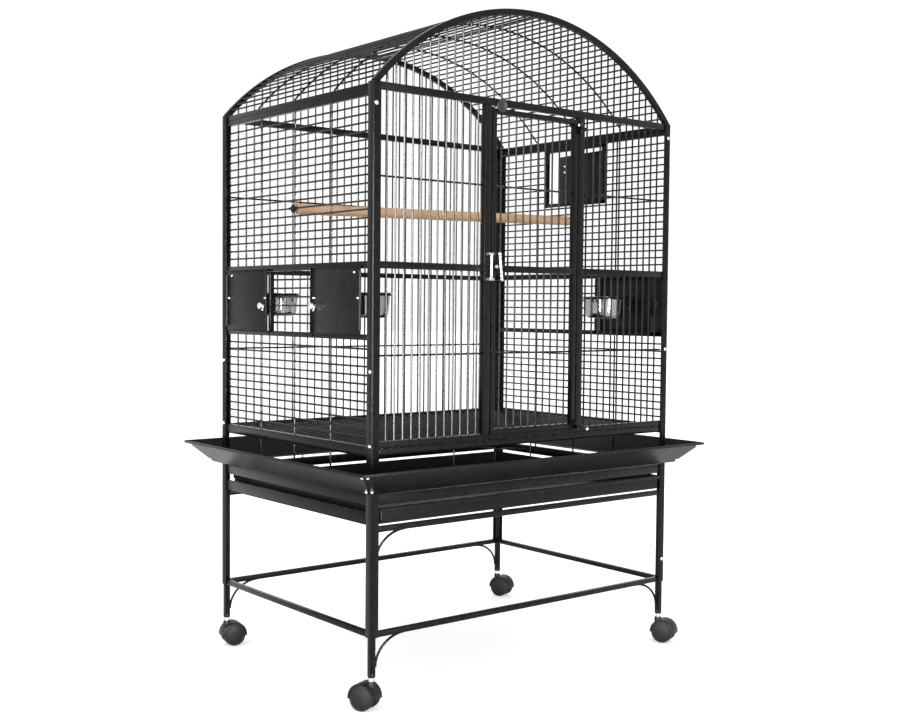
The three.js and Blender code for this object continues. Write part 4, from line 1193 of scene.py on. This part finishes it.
# ---- perch ----
class CAGE_OT_perch(bpy.types.Operator):
    """Wooden perch with notched ends, and the washers and wing nuts outside the grille"""

    bl_idname = "cage.perch"
    bl_label = "Perch"

    def execute(self, context):
        left, right = PERCH_LEFT, PERCH_RIGHT
        along = (right - left).normalized()
        length = (right - left).length
        r = PERCH_R
        line = [(0, 0), (r - 1.6, 0), (r - 0.4, 0.7), (r, 2.2)]
        steps = 40
        for i in range(1, steps):
            wave = 0.12 * math.sin(i * 1.7) + 0.1 * math.sin(i * 0.63)
            line.append((r - 0.12 + wave, 2.2 + (length - 4.4) * i / steps))
        line += [(r, length - 2.2), (r - 0.4, length - 0.7), (r - 1.6, length), (0, length)]
        bm = bmesh.new()
        turned(bm, line, facing(left, along), 40)
        finish_piece(bm, "perch_dowel", "frame", "perch_wood", ["perch"])
        bm = bmesh.new()
        for s, end in ((-1, left), (1, right)):
            face = Vector((s * (WIRE_X + WIRE_R + 0.2), end.y, end.z))
            plate = [(0, 0), (9.6, 0), (10, 0.8), (9.6, 1.5), (6, 2.1), (0, 2.1)]
            turned(bm, plate, facing(face, (s, 0, 0)), 32)
            nut = [(0, 1.8), (5, 1.8), (5, 4.4), (4.2, 6.2), (3.2, 6.6), (0, 6.6)]
            turned(bm, nut, facing(face, (s, 0, 0)), 24)
            for e in (-1, 1):
                wing = face + Vector((s * 5.4, 0, 0))
                bar(bm, wing + Vector((-1.1, e * 3, -3)), wing + Vector((1.1, e * 11.5, 3)), 0.9)
        finish_piece(bm, "perch_wing_nuts", "frame", "coat_bar")
        return {"FINISHED"}


# ---- pull-out floor and guards ----
class CAGE_OT_floor(bpy.types.Operator):
    """Pull-out grate and the droppings tray under it"""

    bl_idname = "cage.floor"
    bl_label = "Grate and tray"

    def execute(self, context):
        x, y0, y1 = GRATE_HIGH[0], GRATE_LOW[1], GRATE_HIGH[1]
        zw = 545
        bm = bmesh.new()
        bar(bm, (-x, y0, 537), (x, y0 + 5, 551), 1.5)
        bar(bm, (-x, y1 - 5, zw - 5), (x, y1, zw + 5), 1.2)
        for e in (-1, 1):
            bar(bm, (e * (x - 5), y0 + 1, zw - 5), (e * x, y1 - 1, zw + 5), 1.2)
        level = zw + WIRE_R
        for w in level_wires(-x + 4, x - 4):
            wire(bm, (w, y0 + 3, level), (w, y1 - 3, level))
        for y in UPRIGHTS:
            low = level - WIRE + WIRE_SINK
            wire(bm, (-x + 3, y, low), (x - 3, y, low))
        finish_piece(bm, "grate", "floor_grate", "coat_wire", ["floor_grate"])
        self.tray()
        return {"FINISHED"}

    def tray(self):
        x, zt = TRAY_HIGH[0] - 4, TRAY_HIGH[2]
        front, back, z0 = -OUT_Y, TRAY_HIGH[1], TRAY_LOW[2]
        bm = bmesh.new()
        size = Vector((2 * x - 1.2, back - front - 1.2, zt - z0 - 0.6))
        middle = Vector((0, (front + back) / 2, (z0 + zt) / 2))
        place = Matrix.Translation(middle) @ Matrix.Diagonal((*size, 1))
        bmesh.ops.create_cube(bm, size=1, matrix=place)
        roof = [f for f in bm.faces if f.normal.z > 0.9]
        bmesh.ops.delete(bm, geom=roof, context="FACES_ONLY")
        folds = [e for e in bm.edges if len(e.link_faces) == 2]
        rounded(bm, folds, 3.0, 4)
        finish_piece(bm, "tray_pan", "tray", "coat_sheet", ["tray"], shell=PAN_SHEET)
        bm = bmesh.new()
        lip = TRAY_LOW[1] + 2.6
        rod(bm, (-x - 3.6, lip, zt - 3.2), (x + 3.6, lip, zt - 3.2), 3.0, 20)
        bar(bm, (-x - 3.6, lip - 2.4, zt - 9), (x + 3.6, lip - 0.9, zt - 3), 0.5)
        for e in (-1, 1):
            a, b = (e * (x - 0.4), front + 18, zt - 3), (e * (x + 4), back - 4, zt - 0.4)
            bar(bm, a, b, 0.7)
            bar(bm, (e * (x + 2.8), front + 18, zt - 8), b, 0.5)
        finish_piece(bm, "tray_lips", "tray", "coat_sheet")


def guard_line():
    """Outward reach and height of a guard's sheet, from the cage wall to its turned-over lip."""
    low, high = span("guard_front")
    z0, z1 = low[2] + 0.95, high[2] - 0.75
    foot = [(1.4, z0), (14.6, z0), (16.6, z0 + 0.8)]
    return foot + [(65.4, z1 - 0.9), (66.8, z1), (68.2, z1 - 0.6), (68.3, z1 - 5.6)]


class CAGE_OT_guards(bpy.types.Operator):
    """Four folded seed guards, mitred and bolted at the corners"""

    bl_idname = "cage.guards"
    bl_label = "Seed guards"

    def execute(self, context):
        for label, sign in (("front", -1), ("back", 1), ("left", -1), ("right", 1)):
            lengthwise = label in ("front", "back")
            bm = bmesh.new()
            near = [bm.verts.new(self.mitred(lengthwise, sign, u, z)) for u, z in guard_line()]
            edges = [bm.edges.new(pair) for pair in zip(near, near[1:])]
            out = bmesh.ops.extrude_edge_only(bm, edges=edges)["geom"]
            for v in out:
                if isinstance(v, bmesh.types.BMVert):  # the far end mirrors the near one
                    x, y, z = v.co
                    v.co = (-x, y, z) if lengthwise else (x, -y, z)
            name = f"seed_guard_{label}"
            node = f"guard_{label}"
            finish_piece(bm, name, "frame", "coat_guard", [node], 30, GUARD_SHEET)
        self.bolts()
        return {"FINISHED"}

    def mitred(self, lengthwise, sign, u, z):
        """A point of a guard's near end, at a reach and height of its sheet."""
        if lengthwise:
            return (MITRE_GAP - HX - u, sign * (HY + u), z)
        return (sign * (HX + u), MITRE_GAP - HY - u, z)

    def bolts(self):
        line = guard_line()
        (u0, z0), (u1, z1) = line[2], line[3]
        fall = Vector((z1 - z0, u0 - u1)).normalized()  # outward normal in reach and height
        for key, (sx, sy) in CORNERS.items():
            bm = bmesh.new()
            for t in (0.12, 0.86):
                u, z = u0 + (u1 - u0) * t, z0 + (z1 - z0) * t
                reach = u + fall.x * 0.6
                height = z + fall.y * 0.6
                head = sizes().bolt_head * 0.85
                face = (sx * (HX + u - 8), sy * (HY + reach), height)
                bolt(bm, face, (0, sy * fall.x, fall.y), head)
                face = (sx * (HX + reach), sy * (HY + u - 8), height)
                bolt(bm, face, (sx * fall.x, 0, fall.y), head)
            finish_piece(bm, f"guard_bolts_{key}", "frame", "bolt_zinc")


# ---- casters ----
SWIVEL = {"fl": 112, "bl": -12, "fr": -68, "br": -72}  # degrees, as they stand
TRAIL = 16
AXLE_Z = 27


class CAGE_OT_casters(bpy.types.Operator):
    """Hooded twin-wheel casters with bright stems"""

    bl_idname = "cage.casters"
    bl_label = "Casters"

    def execute(self, context):
        for key, (sx, sy) in CORNERS.items():
            leg = Matrix.Translation((sx * (OUT_X - LEG_SQ / 2), sy * (OUT_Y - LEG_SQ / 2), 0))
            place = leg @ Matrix.Rotation(math.radians(SWIVEL[key]), 4, "Z")
            self.fork(key, place)
            self.wheels(key, place)
            self.stem(key, place, leg)
        return {"FINISHED"}

    def fork(self, key, place):
        bm = bmesh.new()
        hood = [(26.5, -21.5), (29.2, -21.5), (30.5, -20.4), (31, -18.5), (31, 18.5)]
        hood += [(30.5, 20.4), (29.2, 21.5), (26.5, 21.5), (26.5, 20.2), (28.6, 19.6)]
        hood += [(28.6, -19.6), (26.5, -20.2)]
        swept_arc(bm, hood, (TRAIL, AXLE_Z), -math.pi * 0.52, math.pi / 2 + 0.12, 40)
        web = [(11, -4.5), (28.4, -4.5), (28.4, 4.5), (11, 4.5)]
        swept_arc(bm, web, (TRAIL, AXLE_Z), -math.pi * 0.5, math.pi * 0.46, 24)
        boss = [(0, 36), (7.4, 36), (8.6, 38), (9, 44), (9, 57), (8.2, 60.6)]
        boss += [(6.8, 62.4), (0, 62.4)]
        turned(bm, boss, Matrix(), 32)
        bar(bm, (-6, -4.4, 30), (9, 4.4, 56), 1.5)
        bmesh.ops.transform(bm, matrix=place, verts=bm.verts)
        node = f"caster_fork_{key}"
        finish_piece(bm, f"caster_hood_{key}", f"caster_{key}", "caster_shell", [node])

    def wheels(self, key, place):
        bm = bmesh.new()
        axle = Matrix.Translation((TRAIL, 0, AXLE_Z))
        line = [(0, 5.3), (24.4, 5.3), (26.2, 6.2), (26.9, 8.2), (26.9, 18.4), (26.2, 20.4)]
        line += [(24.4, 21.3), (22.4, 21.1), (21.6, 20.2), (20.6, 20.3), (17, 21.2), (9, 21.9)]
        line += [(4.4, 22.0), (4.0, 21.5), (0, 21.5)]
        for e in (-1, 1):
            turned(bm, line, axle @ Matrix.Rotation(-e * math.pi / 2, 4, "X"), 56)
        rod(bm, (TRAIL, -18, AXLE_Z), (TRAIL, 18, AXLE_Z), 4, 20)
        bmesh.ops.transform(bm, matrix=place, verts=bm.verts)
        node = f"caster_wheels_{key}"
        finish_piece(bm, f"twin_wheels_{key}", f"wheels_{key}", "caster_tread", [node])

    def stem(self, key, place, leg):
        bm = bmesh.new()
        line = [(0, 62), (5.2, 62), (6.6, 62.6), (6.6, 64.4), (5.2, 65), (5.2, 67.6), (7.2, 68)]
        line += [(7.2, 69.8), (5.4, 70.6), (0, 70.6)]
        turned(bm, line, place, 32)
        name = f"caster_stem_{key}"
        finish_piece(bm, name, f"caster_{key}", "bolt_zinc")
        bm = bmesh.new()
        socket = [(5.5, 70.8), (7.4, 70.8), (7.6, 72), (7.6, 78), (6.9, 79), (5.5, 79), (5.5, 70.8)]
        turned(bm, socket, leg, 28)
        finish_piece(bm, f"leg_socket_{key}", "frame", "caster_shell")


# ---- stage ----
CAMERA_PLACE = (-1.9108, -2.3817, 0.8489)
CAMERA_YAW, CAMERA_PITCH, CAMERA_ROLL = 38.875, -2.491, 0.493  # degrees
CAMERA_LENS = 48.742
STRIPS = {"left": (-3.0, -1.2, 1.1), "right": (-0.7, -3.3, 1.1)}


def soft_light(name, place, target, size, power):
    """A large soft light aimed at a point."""
    data = bpy.data.lights.new(name, "AREA")
    data.shape = "RECTANGLE"
    data.size, data.size_y = size
    data.energy = power
    light = bpy.data.objects.new(name, data)
    light.location = place
    light.rotation_euler = (Vector(target) - Vector(place)).to_track_quat("-Z", "Y").to_euler()
    bpy.context.collection.objects.link(light)
    return light


class CAGE_OT_stage(bpy.types.Operator):
    """Plain pale floor, soft studio light and the camera"""

    bl_idname = "cage.stage"
    bl_label = "Stage"

    def execute(self, context):
        settings = context.scene.stage_settings
        self.floor(settings)
        self.lights(settings)
        self.camera()
        context.scene.view_settings.view_transform = "Standard"
        return {"FINISHED"}

    def floor(self, settings):
        bm = bmesh.new()
        bmesh.ops.create_circle(bm, cap_ends=True, segments=96, radius=40)
        mesh = bpy.data.meshes.new("floor")
        bm.to_mesh(mesh)
        bm.free()
        floor = bpy.data.objects.new("floor", mesh)
        bpy.context.collection.objects.link(floor)
        made = bpy.data.materials.new("pale_floor")
        made.use_nodes = True
        made.node_tree.nodes.clear()
        s = Shade(made.node_tree)
        place = s.node("ShaderNodeTexCoord").outputs["Object"]
        cloud = s.noise(place, 1.4, 3.0)
        pale = opaque(settings.floor)
        dull = opaque([c * 0.985 for c in settings.floor])
        values = {
            "Base Color": s.mix(s.span(cloud, 0.3, 0.7, 0.0, 0.6), pale, dull),
            "Roughness": 0.85,
            "Specular IOR Level": 0.1,
            "Emission Color": (1, 1, 1, 1),
            "Emission Strength": settings.floor_glow,
        }
        shader = s.node("ShaderNodeBsdfPrincipled", values)
        s.node("ShaderNodeOutputMaterial", {"Surface": shader.outputs[0]})
        mesh.materials.append(made)

    def lights(self, settings):
        world = bpy.data.worlds.new("surround")
        world.use_nodes = True
        back = world.node_tree.nodes["Background"]
        back.inputs["Color"].default_value = (1, 1, 1, 1)
        back.inputs["Strength"].default_value = settings.surround
        bpy.context.scene.world = world
        power = settings.key_power
        soft_light("key", (-1.2, -4.2, 2.9), (0, 0, 0.8), (3.2, 2.4), power)
        soft_light("side", (-4.4, 0.4, 2.2), (0, 0, 0.8), (2.4, 2.4), power * 0.6)
        soft_light("rim", (3.4, 2.8, 3.2), (0, 0, 1.0), (2.0, 2.0), power * 0.5)
        soft_light("top", (0, 0, 4.6), (0, 0, 0), (3.0, 3.0), power * 0.3)
        for side, place in STRIPS.items():
            strip = soft_light(f"strip_{side}", place, (0, 0, 0.95), (0.3, 2.6), power * 12)
            strip.visible_diffuse = False  # a gloss line along the bars, and no wash over them

    def camera(self):
        yaw, pitch, roll = (math.radians(a) for a in (CAMERA_YAW, CAMERA_PITCH, CAMERA_ROLL))
        level = math.cos(pitch)
        ahead = Vector((math.sin(yaw) * level, math.cos(yaw) * level, math.sin(pitch)))
        right = Vector((math.cos(yaw), -math.sin(yaw), 0))
        up = right.cross(ahead)
        across = math.cos(roll) * right + math.sin(roll) * up
        upward = -math.sin(roll) * right + math.cos(roll) * up
        turn = Matrix((across, upward, -ahead)).transposed().to_4x4()
        data = bpy.data.cameras.new("view")
        data.lens = CAMERA_LENS
        data.sensor_width = 36
        data.sensor_fit = "HORIZONTAL"
        camera = bpy.data.objects.new("view", data)
        camera.matrix_world = Matrix.Translation(CAMERA_PLACE) @ turn
        bpy.context.collection.objects.link(camera)
        bpy.context.scene.camera = camera


OPERATORS = (
    CAGE_OT_corner_angles,
    CAGE_OT_stand,
    CAGE_OT_sides,
    CAGE_OT_front_and_back,
    CAGE_OT_dome,
    CAGE_OT_main_door,
    CAGE_OT_latch,
    CAGE_OT_feeders,
    CAGE_OT_nest_door,
    CAGE_OT_perch,
    CAGE_OT_floor,
    CAGE_OT_guards,
    CAGE_OT_casters,
    CAGE_OT_stage,
)


class CAGE_PT_panel(bpy.types.Panel):
    """Sizes, colours and one button for each group of pieces"""

    bl_idname = "CAGE_PT_panel"
    bl_label = "Bird cage"
    bl_space_type = "VIEW_3D"
    bl_region_type = "UI"
    bl_category = "Bird cage"

    def draw(self, context):
        scene = context.scene
        for settings in (scene.cage_sizes, scene.cage_colours, scene.stage_settings):
            box = self.layout.box()
            for key in settings.bl_rna.properties.keys():
                if key not in ("rna_type", "name"):
                    box.prop(settings, key)
        for operator in OPERATORS:
            self.layout.operator(operator.bl_idname)


CLASSES = (CageSizes, CageColours, StageSettings, *OPERATORS, CAGE_PT_panel)


def register():
    for cls in CLASSES:
        bpy.utils.register_class(cls)
    bpy.types.Scene.cage_sizes = bpy.props.PointerProperty(type=CageSizes)
    bpy.types.Scene.cage_colours = bpy.props.PointerProperty(type=CageColours)
    bpy.types.Scene.stage_settings = bpy.props.PointerProperty(type=StageSettings)


def unregister():
    del bpy.types.Scene.stage_settings
    del bpy.types.Scene.cage_colours
    del bpy.types.Scene.cage_sizes
    for cls in reversed(CLASSES):
        bpy.utils.unregister_class(cls)


def main():
    register()
    for operator in OPERATORS:
        group, name = operator.bl_idname.split(".")
        getattr(getattr(bpy.ops, group), name)()


if __name__ == "__main__":
    main()
